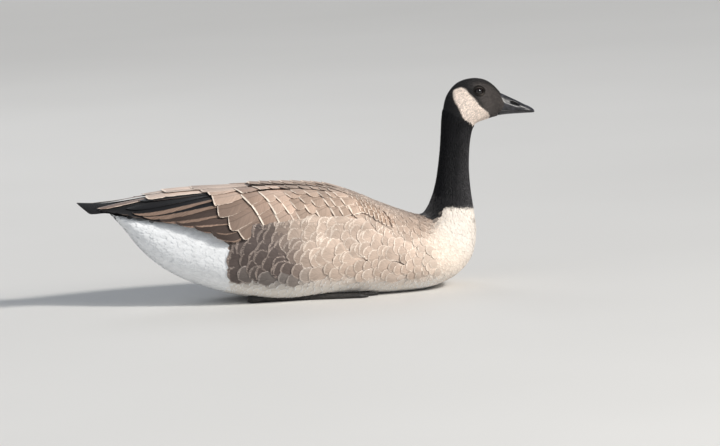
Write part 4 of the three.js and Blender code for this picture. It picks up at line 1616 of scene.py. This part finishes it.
    def bed(self, name: str, side: Side, material: Material) -> Piece:
        """The wing's flesh under its feathers, a thick closed sheet.

        Args:
            name: The object's name.
            side: The side it lies on.
            material: Its finish.

        Returns:
            The object.
        """
        xs = np.linspace(self.bed_front, self.sheet.places[-1], self.bed_rings)
        x, share = np.meshgrid(xs, np.linspace(0, 1, self.bed_steps + 1), indexing="ij")
        out = sheet_frame(self.sheet, x, share)[2]
        deep = self.sheet.deep(x)
        sunk = np.minimum(self.sink + 6.0 * ramp(x, 66.0, self.bed_front), 0.45 * deep)[..., None]
        outer = self.sheet.point(x, share) - out * sunk
        inward = unit(np.stack([0 * share, -share, -(1 - 0.75 * share**3)], -1))
        inner = outer + inward * (deep * (1 - 0.35 * share))[..., None]
        rings = np.concatenate([outer, inner[:, ::-1]], 1)
        count, around = rings.shape[:2]
        points, faces = capped(rings)
        tone = np.where(points[:, :1] < -150, np.array(Tone.QUILL_BLACK.value), np.array(Tone.COVERT.value))
        points, faces = on_side(points, faces, side)
        lengthwise = (points[:, 0] - points[:, 0].min()) / np.ptp(points[:, 0])
        unwrap = np.stack([lengthwise, 0 * lengthwise], -1)
        unwrap[: count * around, 1] = np.tile(np.linspace(0, 1, around), count)
        return mesh_object(name, points, faces, material, {"Ground": tone}, {"OFBake": unwrap})

    def make(self, side: Side, material: Material, skin: Material) -> None:
        """Builds one wing and lets it stand for its node.

        Args:
            side: The side it lies on.
            material: The feathers' finish.
            skin: The bed's finish.
        """
        right = int(side is Side.RIGHT)
        random = np.random.default_rng(self.row_seed - right)
        seed = self.feather_seed - right
        large = self.quills()
        for row in self.rows():
            large += row.vanes(self.sheet, random)
        small = [vane for row in self.fore_rows() for vane in row.vanes(self.sheet, random)]
        feathers = VaneBed(self.sheet).build(f"wing_feathers_{side.word}", large, material, seed, side)
        fore_bed = VaneBed(self.sheet, along=14, across=7, under=1)
        shoulder = fore_bed.build(f"shoulder_feathers_{side.word}", small, material, seed + 2, side)
        bed = self.bed(f"wing_bed_{side.word}", side, skin)
        for piece in (bed, feathers, shoulder):
            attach(piece, BODY)
            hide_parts(f"wing_{side.word}")


@dataclass
class Tail:
    """The folded tail: its main feathers in pairs, the middle pair on top."""

    sheet: TailSheet = field(default_factory=TailSheet)
    pairs: int = 9

    def vanes(self) -> list[Vane]:
        """The tail's feathers.

        Returns:
            The feathers, from the outermost pair to the middle pair that lies over them.
        """
        made = []
        for index in reversed(range(self.pairs)):
            outward = (index + 0.5) / self.pairs
            above = 1 - outward
            for side in (1, -1):
                root = (-226, side * 16 * outward)
                tip = (-326 + 11 * outward**2, side * 37 * outward)
                lift = (-0.9 + 1.6 * above, 0.2 + 1.4 * above)
                trim = (0.08, 0.08, 0.008)
                tilt = 0.35 * side
                made.append(
                    Vane(root, tip, 8.6, Outline.BLUNT, lift, tilt, Tone.TAIL, Tone.TAIL_EDGE, trim)
                )
        return made

    def make(self, material: Material) -> None:
        """Builds the tail and lets it stand for its node.

        Args:
            material: The feathers' finish.
        """
        feathers = VaneBed(self.sheet).build("tail_feathers", self.vanes(), material, 31)
        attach(feathers, BODY)
        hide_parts("tail")


@dataclass
class Bill:
    """The bill: two closed horny halves that meet at the mouth line.

    A station is the x and z of its lower end, those of its upper end, and its share of the half width.
    """

    shape: BodyShape
    gap: float = 0.36
    stations: tuple[tuple[float, ...], ...] = (
        (273.9, 234.3, 277.8, 266.1, 1.0),
        (281, 234.8, 283.8, 263, 0.98),
        (289, 235.1, 291.5, 258.9, 0.93),
        (298, 235.2, 300.5, 254.1, 0.87),
        (307, 235.2, 309.5, 249, 0.82),
        (314, 235.1, 316.5, 245, 0.75),
        (319.5, 235, 321.5, 242, 0.62),
        (323.5, 235, 324.5, 239.6, 0.42),
        (325.9, 235.2, 326.2, 237.4, 0.16),
    )
    mouth: tuple[Pair, ...] = (
        (270, 242.4), (276, 242), (286, 241.1), (300, 239.8), (312, 238.4), (321, 236.9), (330, 234.9),
    )
    nostril: Pair = (295.8, 251.2)

    def half(self, upper: bool, rings: int = 90, around: int = 64) -> tuple[Floats, Floats, Floats]:
        """One half of the bill.

        Args:
            upper: Whether it is the upper half.
            rings: How many rings it has.
            around: How many points a ring has.

        Returns:
            Its points in millimetres, its triangles, and the painted highlight and painted shade of each
            point.
        """
        curve = SmoothCurve(np.array(self.stations, float))
        share = np.linspace(0, 1, rings)
        rows = curve.at(share)
        low, high = rows[:, [0, 1]], rows[:, [2, 3]]
        half = rows[:, 4] * self.shape.bill_half
        level = np.interp(low[:, 0], *zip(*self.mouth))
        split = np.clip((level - low[:, 1]) / (high[:, 1] - low[:, 1]), 0.05, 0.95)
        margin = self.gap / 2 / (high[:, 1] - low[:, 1])
        lips = np.interp(share, [0, 0.1, 0.9, 1], [0.4, 1, 1, 0])
        rings_made = []
        arc = int(around * 0.72)
        for i in range(rings):
            start = split[i] + margin[i] if upper else split[i] - margin[i]
            lip_turn, far_turn = math.acos(np.clip(1 - 2 * start, -1, 1)), math.pi if upper else 0.0
            turns = np.linspace(lip_turn, far_turn, arc // 2 + 1)
            power = 2 / (2.1 if upper else 2.3)
            rise = 0.5 * (1 - np.sign(np.cos(turns)) * np.abs(np.cos(turns)) ** power)
            wide = np.abs(np.sin(turns)) ** power * half[i]
            rise[0] = start
            lip = 0.55 * lips[i] * np.exp(-(((rise - start) * (high[i, 1] - low[i, 1]) - 1.1) / 1.0) ** 2)
            if upper:
                wide = wide + lip
            right = np.stack([rise, -wide], -1)
            left = np.stack([rise[::-1], wide[::-1]], -1)
            flat_y = np.linspace(wide[0], -wide[0], around - 2 * (arc // 2 + 1) + 3)[1:-1]
            flat = np.stack([np.full(len(flat_y), start), flat_y], -1)
            ring = np.vstack([right, left[1:], flat])
            x = mix(low[i, 0], high[i, 0], ring[:, 0])
            z = mix(low[i, 1], high[i, 1], ring[:, 0])
            rings_made.append(np.stack([x, ring[:, 1], z], -1))
        points = np.stack(rings_made)
        marks = np.zeros(points.shape)
        if upper:
            points, marks = self.carve(points)
        closed, faces = capped(points)
        return closed, faces, np.vstack([marks.reshape(-1, 3), np.zeros((2, 3))])

    def carve(self, points: Floats) -> tuple[Floats, Floats]:
        """Sinks the nasal grooves and nostrils and raises the nail at the tip.

        Args:
            points: The upper half's points.

        Returns:
            The points, and for each its painted highlight, on the groove's lower rim and the nail, and its
            painted shade, in the groove and the nostril.
        """
        x0, z0 = self.nostril
        dx, dz = points[..., 0] - x0, points[..., 2] - z0
        slope = math.radians(-24)
        u = dx * math.cos(slope) + dz * math.sin(slope)
        v = -dx * math.sin(slope) + dz * math.cos(slope)
        groove = np.exp(-(((u + 3) / 11.5) ** 4) - ((v / 3.7) ** 4))
        hole = np.exp(-(((u - 1.5) / 5.6) ** 4) - (((v + 0.1) / 1.25) ** 4))
        rim = np.exp(-(((u + 3) / 12.5) ** 4) - (((v + 4.1) / 0.8) ** 2))
        sign = np.sign(points[..., 1])
        strong = np.abs(points[..., 1]) > 2.0
        points[..., 1] -= sign * strong * (1.1 * groove + 3.2 * hole - 0.25 * rim)
        nail = ramp(points[..., 0], 313, 318) * ramp(points[..., 2], 236.5, 239)
        narrow = 1 - ramp(np.abs(points[..., 1]), 4.5, 6.2)
        points[..., 2] += 0.55 * nail * narrow
        # Painted highlight on the groove's lower rim and on the nail, and painted shade in the groove and the
        # nostril.
        painted_highlight, painted_shade = strong * 0.8 * rim + 0.7 * nail * narrow, strong * (hole + 0.45 * groove)
        return points, np.stack([painted_highlight, painted_shade, 0 * rim], -1)

    def make(self, material: Material) -> None:
        """Builds both halves and lets them stand for their nodes.

        Args:
            material: Their finish.
        """
        for half in ("upper", "lower"):
            points, faces, marks = self.half(half == "upper")
            faces = outward(points, faces)
            piece = mesh_object(f"bill_horn_{half}", points, faces, material, {"Marks": marks})
            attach(piece, BODY)
            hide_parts(f"bill_{half}")
            log.info("%s: %d faces", piece.name, len(faces))


@dataclass(frozen=True)
class EyeFinish:
    """A dark brown iris round a black pupil under a clear wet surface, sized in millimetres."""

    name: str
    centre: Triple
    axis: Triple
    radius: float

    def make(self) -> Material:
        """Builds the material.

        Returns:
            A material that tells pupil, iris and rim apart by how far a place lies along the eye's axis.
        """
        material, tree = new_material(self.name)
        place = tree.object_place()
        offset = tree.vector("SUBTRACT", place, tuple(v * MM for v in self.centre))
        level = tree.vector("DOT_PRODUCT", offset, self.axis)
        height = tree.maths("DIVIDE", level, self.radius * MM)
        pupil = tree.window(height, 0.90, 0.915)
        rim = tree.window(height, 0.72, 0.66)
        fibre = tree.noise(place, 1500.0, 3.0)
        iris = tree.blend(fibre, (*srgb(16, 9, 7), 1.0), (*srgb(30, 17, 12), 1.0))
        colour = tree.blend(pupil, iris, (0.002, 0.002, 0.002, 1.0))
        colour = tree.blend(rim, colour, (*srgb(20, 15, 13), 1.0))
        tree.surface({"Base Color": colour, "Roughness": 0.05, "Specular IOR Level": 0.5})
        return material


@dataclass
class Eye:
    """The eyes and their lids, with the hollow that each sits in.

    The profile runs out from the lids' edge: how far out, how high over the head, and how light, with painted
    highlight on its ridges and painted shade in its grooves.
    """

    shape: BodyShape
    centre: Triple = (245.2, 13.1, 270.4)
    axis: Triple = (0.15, 0.94, 0.29)
    radius: float = 6.6
    opening: Pair = (6.4, 4.45)
    almond: float = 1.85
    bare: float = 1.0
    profile: tuple[Triple, ...] = (
        (0.0, 0.12, 0.12), (0.25, 0.55, 0.3), (0.65, 0.75, 1.0), (1.0, 0.5, 0.6), (1.3, 0.1, 0.2),
        (1.65, 0.3, 0.5), (2.05, 0.42, 0.9), (2.45, 0.2, 0.5), (2.75, -0.05, 0.25), (3.2, 0.05, 0.45),
        (3.8, -0.4, 0.4), (4.8, -1.8, 0.3),
    )
    fold_side: float = -0.9

    def plane(self, points: Floats) -> tuple[Floats, Floats, Floats]:
        """Places measured from the nearer eye.

        Args:
            points: Rows of x, y and z in millimetres.

        Returns:
            How far each lies forwards, upwards, and outwards along the eye's axis.
        """
        axis, fore, up = self.directions(Side.LEFT)
        offset = np.array(points, float)
        offset[..., 1] = np.abs(offset[..., 1])
        offset = offset - np.array(self.centre)
        return offset @ fore, offset @ up, offset @ axis

    def directions(self, side: Side) -> tuple[Floats, Floats, Floats]:
        """An eye's own directions.

        Args:
            side: The side it is on.

        Returns:
            Its axis and its forward and upward directions.
        """
        mirror = np.array((1.0, float(side.value), 1.0))
        axis = unit(np.array(self.axis))
        fore = unit(np.array((1.0, 0.0, 0.0)) - axis * axis[0])
        return axis * mirror, fore * mirror, np.cross(fore, axis) * mirror

    def socket(self, points: Floats, deep: float) -> Floats:
        """How far the head's skin is hollowed at each point under the eye, at most deep."""
        fore, up, _ = self.plane(points)
        return deep * (1 - ramp(np.hypot(fore, up), 5.2, 9.5))

    def clear(self, points: Floats, margin: float) -> Floats:
        """Tells which places are clear of the eye and its lids.

        Args:
            points: Rows of x, y and z in millimetres.
            margin: By how much.

        Returns:
            1 where a place is clear and 0 elsewhere.
        """
        fore, up, _ = self.plane(points)
        long, tall = (half + self.bare + margin for half in self.opening)
        return ((fore / long) ** 2 + (up / tall) ** 2 > 1).astype(float)

    def head_level(self, fore: Floats, up: Floats) -> Floats:
        """The head's surface around the eye, as a quadric fitted to it.

        Args:
            fore: How far forwards places are from the eye.
            up: How far upwards.

        Returns:
            The surface's height there along the eye's axis.
        """
        t, turn = np.meshgrid(np.linspace(0.78, 1, 160), np.linspace(0.3, math.pi - 0.1, 120))
        near_fore, near_up, level = self.plane(self.shape.point(t, turn))
        near = np.hypot(near_fore, near_up) < 12

        def terms(a: Floats, b: Floats) -> Floats:
            """The quadric's terms at each place."""
            return np.stack([np.ones_like(a), a, b, a * a, a * b, b * b], -1)

        weights = np.linalg.lstsq(terms(near_fore[near], near_up[near]), level[near], rcond=None)[0]
        return terms(fore, up) @ weights

    def ball(self, side: Side) -> Piece:
        """The eyeball: rings about its axis with a slight bulge over the pupil.

        Args:
            side: The side it is on.

        Returns:
            The eyeball's object.
        """
        name = f"eyeball_{side.word}"
        rings, around = 40, 48
        centre = np.array(self.centre) * (1, side.value, 1)
        axis, across, up = self.directions(side)
        polar = np.linspace(0.02, math.pi - 0.02, rings)[:, None]
        turn = np.linspace(0, 2 * math.pi, around, endpoint=False)[None]
        bulge = self.radius * (1 + 0.035 * np.exp(-((polar / 0.5) ** 2)))
        offset = axis * (np.cos(polar) * bulge)[..., None]
        offset = offset + across * (np.sin(polar) * np.cos(turn) * bulge)[..., None]
        offset = offset + up * (np.sin(polar) * np.sin(turn) * bulge)[..., None]
        closed, faces = capped(centre + offset)
        finish = EyeFinish(f"{name}_finish", tuple(centre), tuple(axis), self.radius)
        return mesh_object(name, closed, outward(closed, faces), finish.make())

    def lid(self, side: Side, material: Material) -> Piece:
        """The lids: a soft almond ring with folds that rests on the eyeball and sinks into the head.

        Args:
            side: The side they are on.
            material: Their finish.

        Returns:
            The lids' object.
        """
        steps = 120
        axis, fore, up = self.directions(side)
        turn = np.linspace(0, 2 * math.pi, steps, endpoint=False)[:, None]
        long, tall = self.opening
        power = self.almond
        inner = np.abs(np.cos(turn) / long) ** power + np.abs(np.sin(turn) / tall) ** power
        inner = inner ** (-1 / power)
        out, rise, tone = (np.array(column)[None] for column in zip(*self.profile))
        folds = 1 + 0.12 * np.sin(turn * 17 + 1.3 * np.sin(turn * 3)) * ramp(out, 0.3, 1.5)
        reach = inner + out * (1 + 0.12 * np.sin(turn))
        edge = np.sqrt(np.maximum(self.radius**2 - inner**2, 0.2))
        level = self.head_level(reach * np.cos(turn), reach * np.sin(turn))
        high = mix(edge, level, ramp(out, 0.0, 3.2)) + rise * folds
        under = np.stack([high[:, -1] - 0.6, high[:, 6] - 1.4, high[:, 0] - 0.5], -1)
        reach_under = np.stack([reach[:, -1] - 0.3, reach[:, 6], reach[:, 0] + 0.35], -1)
        high, reach = np.hstack([high, under]), np.hstack([reach, reach_under])
        around = high.shape[1]
        across, lifted = reach * np.cos(turn), reach * np.sin(turn)
        centre = np.array(self.centre) * (1, side.value, 1)
        points = centre + fore * across[..., None] + up * lifted[..., None] + axis * high[..., None]
        faces = ring_faces(steps, around)
        last = (steps - 1) * around
        wrap = np.stack([np.arange(around), (np.arange(around) + 1) % around], -1)
        quads = np.vstack([faces, np.concatenate([last + wrap, wrap[:, ::-1]], 1)])
        triangles = np.vstack([quads[:, [0, 1, 2]], quads[:, [0, 2, 3]]])
        rows = points.reshape(-1, 3)
        # The lids' tones are painted light and shade: pale on the profile's ridges and dark in its grooves,
        # with painted light on an arc over the upper lid and on the folds in front.
        arch = 0.6 * np.exp(-(((turn - 1.4) / 0.8) ** 2)) * (np.arange(len(tone[0])) == 2)
        wrapped = np.angle(np.exp(1j * (turn - self.fold_side)))
        front_folds = 0.5 * np.exp(-((wrapped / 0.6) ** 2))
        tones = tone * (0.10 + arch + front_folds)
        tones = np.hstack([tones, np.full((steps, 3), 0.2)])
        ground = tones.reshape(-1, 1) * np.array(Tone.LID.value)
        name = f"eyelid_{side.word}"
        return mesh_object(name, rows, outward(rows, triangles), material, {"Ground": ground})

    def make(self, lid_finish: Material) -> None:
        """Builds both eyes and their lids.

        Args:
            lid_finish: The lids' finish.
        """
        for side in Side:
            ball = self.ball(side)
            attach(ball, BODY)
            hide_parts(f"eye_{side.word}")
            lid = self.lid(side, lid_finish)
            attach(lid, BODY)


@dataclass(frozen=True)
class Lamp:
    """A soft light that looks at the bird: a disk of this size, or a sun whose size is an angle."""

    name: str
    place: Triple
    size: float
    power: float
    tint: Triple
    sun: bool = False

    def make(self, aim: Triple) -> None:
        """Hangs the light in the scene.

        Args:
            aim: The place it looks at.
        """
        data = bpy.data.lights.new(self.name, "SUN" if self.sun else "AREA")
        if self.sun:
            data.angle = self.size
        else:
            data.shape = "DISK"
            data.size = self.size
        data.energy = self.power
        data.color = self.tint
        lamp = bpy.data.objects.new(self.name, data)
        bpy.context.scene.collection.objects.link(lamp)
        lamp.rotation_euler = (Vector(aim) - Vector(self.place)).to_track_quat("-Z", "Y").to_euler()
        lamp.location = self.place


@dataclass
class Studio:
    """Floor, lights and the camera at the photograph's angle.

    The scale is millimetres for a pixel, the angles are degrees, and the anchor is a place in millimetres
    that the camera sees at the anchor pixel. Other lengths are metres.
    """

    scale: float = 1.4
    turn: float = 9.0
    height: float = 7.0
    roll: float = 2.9
    distance: float = 7.5
    picture: tuple[int, int] = (720, 446)
    anchor_pixel: Pair = (300.5, 245.4)
    anchor: Triple = (-15.5, 0.0, 70.0)
    sensor: float = 36.0  # millimetres
    reach: float = 40.0
    aim: Triple = (0.0, 0.0, 0.12)
    air: tuple[float, ...] = (0.80, 0.86, 0.95, 1.0)
    air_power: float = 0.34
    lamps: tuple[Lamp, ...] = (
        Lamp("key", (2.3, -2.4, 2.6), math.radians(8), 2.45, (1.0, 0.965, 0.91), sun=True),
        Lamp("softbox", (1.7, -2.3, 1.9), 1.7, 38.0, (1.0, 0.97, 0.93)),
        Lamp("fill", (-2.4, -2.6, 1.6), 2.6, 9.0, (0.86, 0.93, 1.0)),
        Lamp("back", (-0.6, 2.6, 2.2), 1.8, 14.0, (0.95, 0.97, 1.0)),
    )

    def camera(self) -> None:
        """Makes the camera, a long way off with a long lens."""
        psi, elevation, roll = (math.radians(v) for v in (self.turn, self.height, self.roll))
        level = Vector((math.cos(psi), -math.sin(psi), 0))
        lean = math.sin(elevation)
        upright = Vector((math.sin(psi) * lean, math.cos(psi) * lean, math.cos(elevation)))
        right = level * math.cos(roll) - upright * math.sin(roll)
        up = level * math.sin(roll) + upright * math.cos(roll)
        back = right.cross(up)
        width, tall = self.picture
        across = (width / 2 - self.anchor_pixel[0]) * self.scale
        lifted = (self.anchor_pixel[1] - tall / 2) * self.scale
        middle = Vector(self.anchor) * MM + (right * across + up * lifted) * MM
        data = bpy.data.cameras.new("photo_camera")
        data.sensor_width = self.sensor
        data.lens = self.sensor * self.distance / (width * self.scale * MM)
        data.clip_end = 200.0
        camera = bpy.data.objects.new("photo_camera", data)
        bpy.context.scene.collection.objects.link(camera)
        turned = Matrix((right, up, back)).transposed().to_4x4()
        camera.matrix_world = Matrix.Translation(middle + back * self.distance) @ turned
        bpy.context.scene.camera = camera

    def floor(self) -> None:
        """Makes the floor."""
        reach = self.reach / MM
        corners = [(-reach, -reach, 0), (reach, -reach, 0), (reach, reach, 0), (-reach, reach, 0)]
        material, tree = new_material("studio_floor")
        cloud = tree.noise(tree.object_place(), 1.4, 2.0)
        colour = tree.blend(cloud, (0.68, 0.67, 0.65, 1.0), (0.74, 0.73, 0.71, 1.0))
        tree.surface({"Base Color": colour, "Roughness": 0.7})
        mesh_object("studio_floor", np.array(corners, float), np.array([[0, 1, 2, 3]]), material)

    def make(self) -> None:
        """Builds the whole studio."""
        self.camera()
        bpy.context.scene.view_settings.view_transform = "Standard"
        for lamp in self.lamps:
            lamp.make(self.aim)
        world = bpy.data.worlds.new("studio_air")
        world.use_nodes = True
        inputs = world.node_tree.nodes["Background"].inputs
        inputs[0].default_value = self.air
        inputs[1].default_value = self.air_power
        bpy.context.scene.world = world
        self.floor()


def plumages() -> list[Plumage]:
    """The stretches of small feathers.

    Returns:
        The stretches, in the order they are laid.
    """
    down = FeatherFinish(
        "white_feather", barbs=26, slant=8.0, barb_tone=0.03, comb=0.1, streak=0.06, shaft_tone=0.03,
        dusk=0.04, chance=0.04, roughness=0.78, bump=0.12,
    )
    flank = FeatherFinish(
        "flank_feather", barbs=17, slant=7.0, finer=3.0, barb_tone=0.05, comb=0.7, streak=0.34,
        shaft_tone=0.1, dusk=0.16, bump=0.1,
    )
    breast = FeatherFinish(
        "breast_feather", barbs=18, slant=6.0, barb_tone=0.04, comb=0.15, streak=0.12, shaft_tone=0.05,
        dusk=0.08, chance=0.07, roughness=0.75, bump=0.12,
    )
    mantle = FeatherFinish(
        "mantle_feather", barbs=24, slant=8.0, barb_tone=0.06, comb=0.2, streak=0.2, chance=0.12, bump=0.14
    )
    dark = FeatherFinish(
        "neck_feather", barbs=7, slant=3.0, barb_tone=0.2, comb=0.4, streak=0.5, shaft_tone=0.1,
        dusk=0.1, chance=0.45, roughness=0.45, sheen=0.03, specular=0.16,
    )
    face = FeatherFinish(
        "face_feather", barbs=5, slant=2.0, barb_tone=0.12, comb=0.4, shaft_tone=0.05, dusk=0.1,
        chance=0.34, roughness=0.6, sheen=0.12,
    )
    above = math.pi + 0.001  # just past the top of a section
    plain, black = "body_feathers", "black_feathers"
    return [
        Plumage(name, cut, slot, finish, *span, spacing, *size, trim, spread, size_by_t, seed)
        for name, cut, slot, finish, span, spacing, size, trim, spread, size_by_t, seed in (
            ("coat_vent", BODY_CUT, plain, down, (0.012, 0.199, 0, above),
             4.2, (27, 11, 2.3), (0.1, 0.1, 0.05), 0.12, (0.45, 1.0), 1),
            ("coat_flank", FLANK_CUT, plain, flank, (0.191, 0.41, 1.15, 2.75),
             8.2, (46, 30, 3.4), (0.17, 0.17, 0.08), 0.16, (1.05, 0.5), 2),
            ("coat_belly", BODY_CUT, plain, down, (0.186, 0.45, 0, 1.17),
             5.4, (25, 13, 2.4), (0.1, 0.1, 0.05), 0.12, (1.0, 1.0), 3),
            ("coat_breast", BODY_CUT, plain, breast, (0.375, 0.57, 0, above),
             2.6, (14, 6.2, 2.2), (0.16, 0.16, 0.08), 0.14, (1.75, 0.6), 4),
            ("coat_mantle", BODY_CUT, plain, mantle, (0.34, 0.50, 2.05, above),
             4.2, (22, 11, 2.8), (0.16, 0.16, 0.07), 0.06, (1.15, 0.6), 7),
            ("coat_back", BODY_CUT, plain, mantle, (0.22, 0.345, 2.5, above),
             5.2, (26, 14, 2.8), (0.16, 0.16, 0.07), 0.06, (1.0, 1.0), 8),
            ("coat_neck", TUFT_CUT, black, dark, (0.545, 0.77, 0, above),
             1.35, (7.2, 2.2, 1.8), (0.14, 0.14, 0.14), 0.12, (1.1, 0.75), 5),
            ("coat_head", TUFT_CUT, black, face, (0.765, 1.01, 0, above),
             0.84, (3.3, 1.0, 0.75), (0.1, 0.1, 0.12), 0.14, (1.1, 0.5), 6),
        )
    ]


def dress_legs(frame: dict) -> None:
    """Gives the legs and feet their leathery finish.

    Args:
        frame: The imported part, as loaded.
    """
    colour, worn = srgb(36, 34, 33), srgb(58, 54, 51)
    finish = HornFinish("leg_leather", colour, worn, 0.55, grain=120.0, scales=420.0, bump=0.6).make()
    for name in ("leg_left", "leg_right", "foot_left", "foot_right"):
        node = frame["nodes"][name]
        node.data.materials.clear()
        node.data.materials.append(finish)


def main() -> None:
    """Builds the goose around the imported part, piece by piece."""
    logging.basicConfig(level=logging.INFO, format="%(name)s %(message)s")
    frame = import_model()
    shape = BodyShape()
    under = SkinFinish().make()
    eye = Eye(shape)
    skin = Skin(shape, Markings(), eye)
    body = skin.make(under)
    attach(body, BODY)
    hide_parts("torso", "neck", "head")
    coat = Coat(skin, body, CoatTree())
    for plumage in plumages():
        coat.lay(plumage)
    quill = FeatherFinish(
        "wing_feather", barbs=44, slant=8.0, finer=2.0, barb_tone=0.05, comb=0.3, streak=0.34,
        shaft_tone=0.26, dusk=0.22, bump=0.14,
    ).make()
    for side in Side:
        Wing().make(side, quill, under)
    # The tail's shafts are painted lighter than their vanes, as painted sheen along them.
    tail = FeatherFinish(
        "tail_feather", barbs=70, slant=7.0, barb_tone=0.12, shaft_tone=-0.4, sheen=0.03, specular=0.16
    ).make()
    Tail().make(tail)
    horn = HornFinish("bill_horn", srgb(26, 26, 30), srgb(62, 62, 68), 0.36, grain=140.0).make()
    Bill(shape).make(horn)
    lid = SkinFinish("eyelid_skin", 0.8).make()
    eye.make(lid)
    dress_legs(frame)
    Studio().make()


if __name__ == "__main__":
    main()
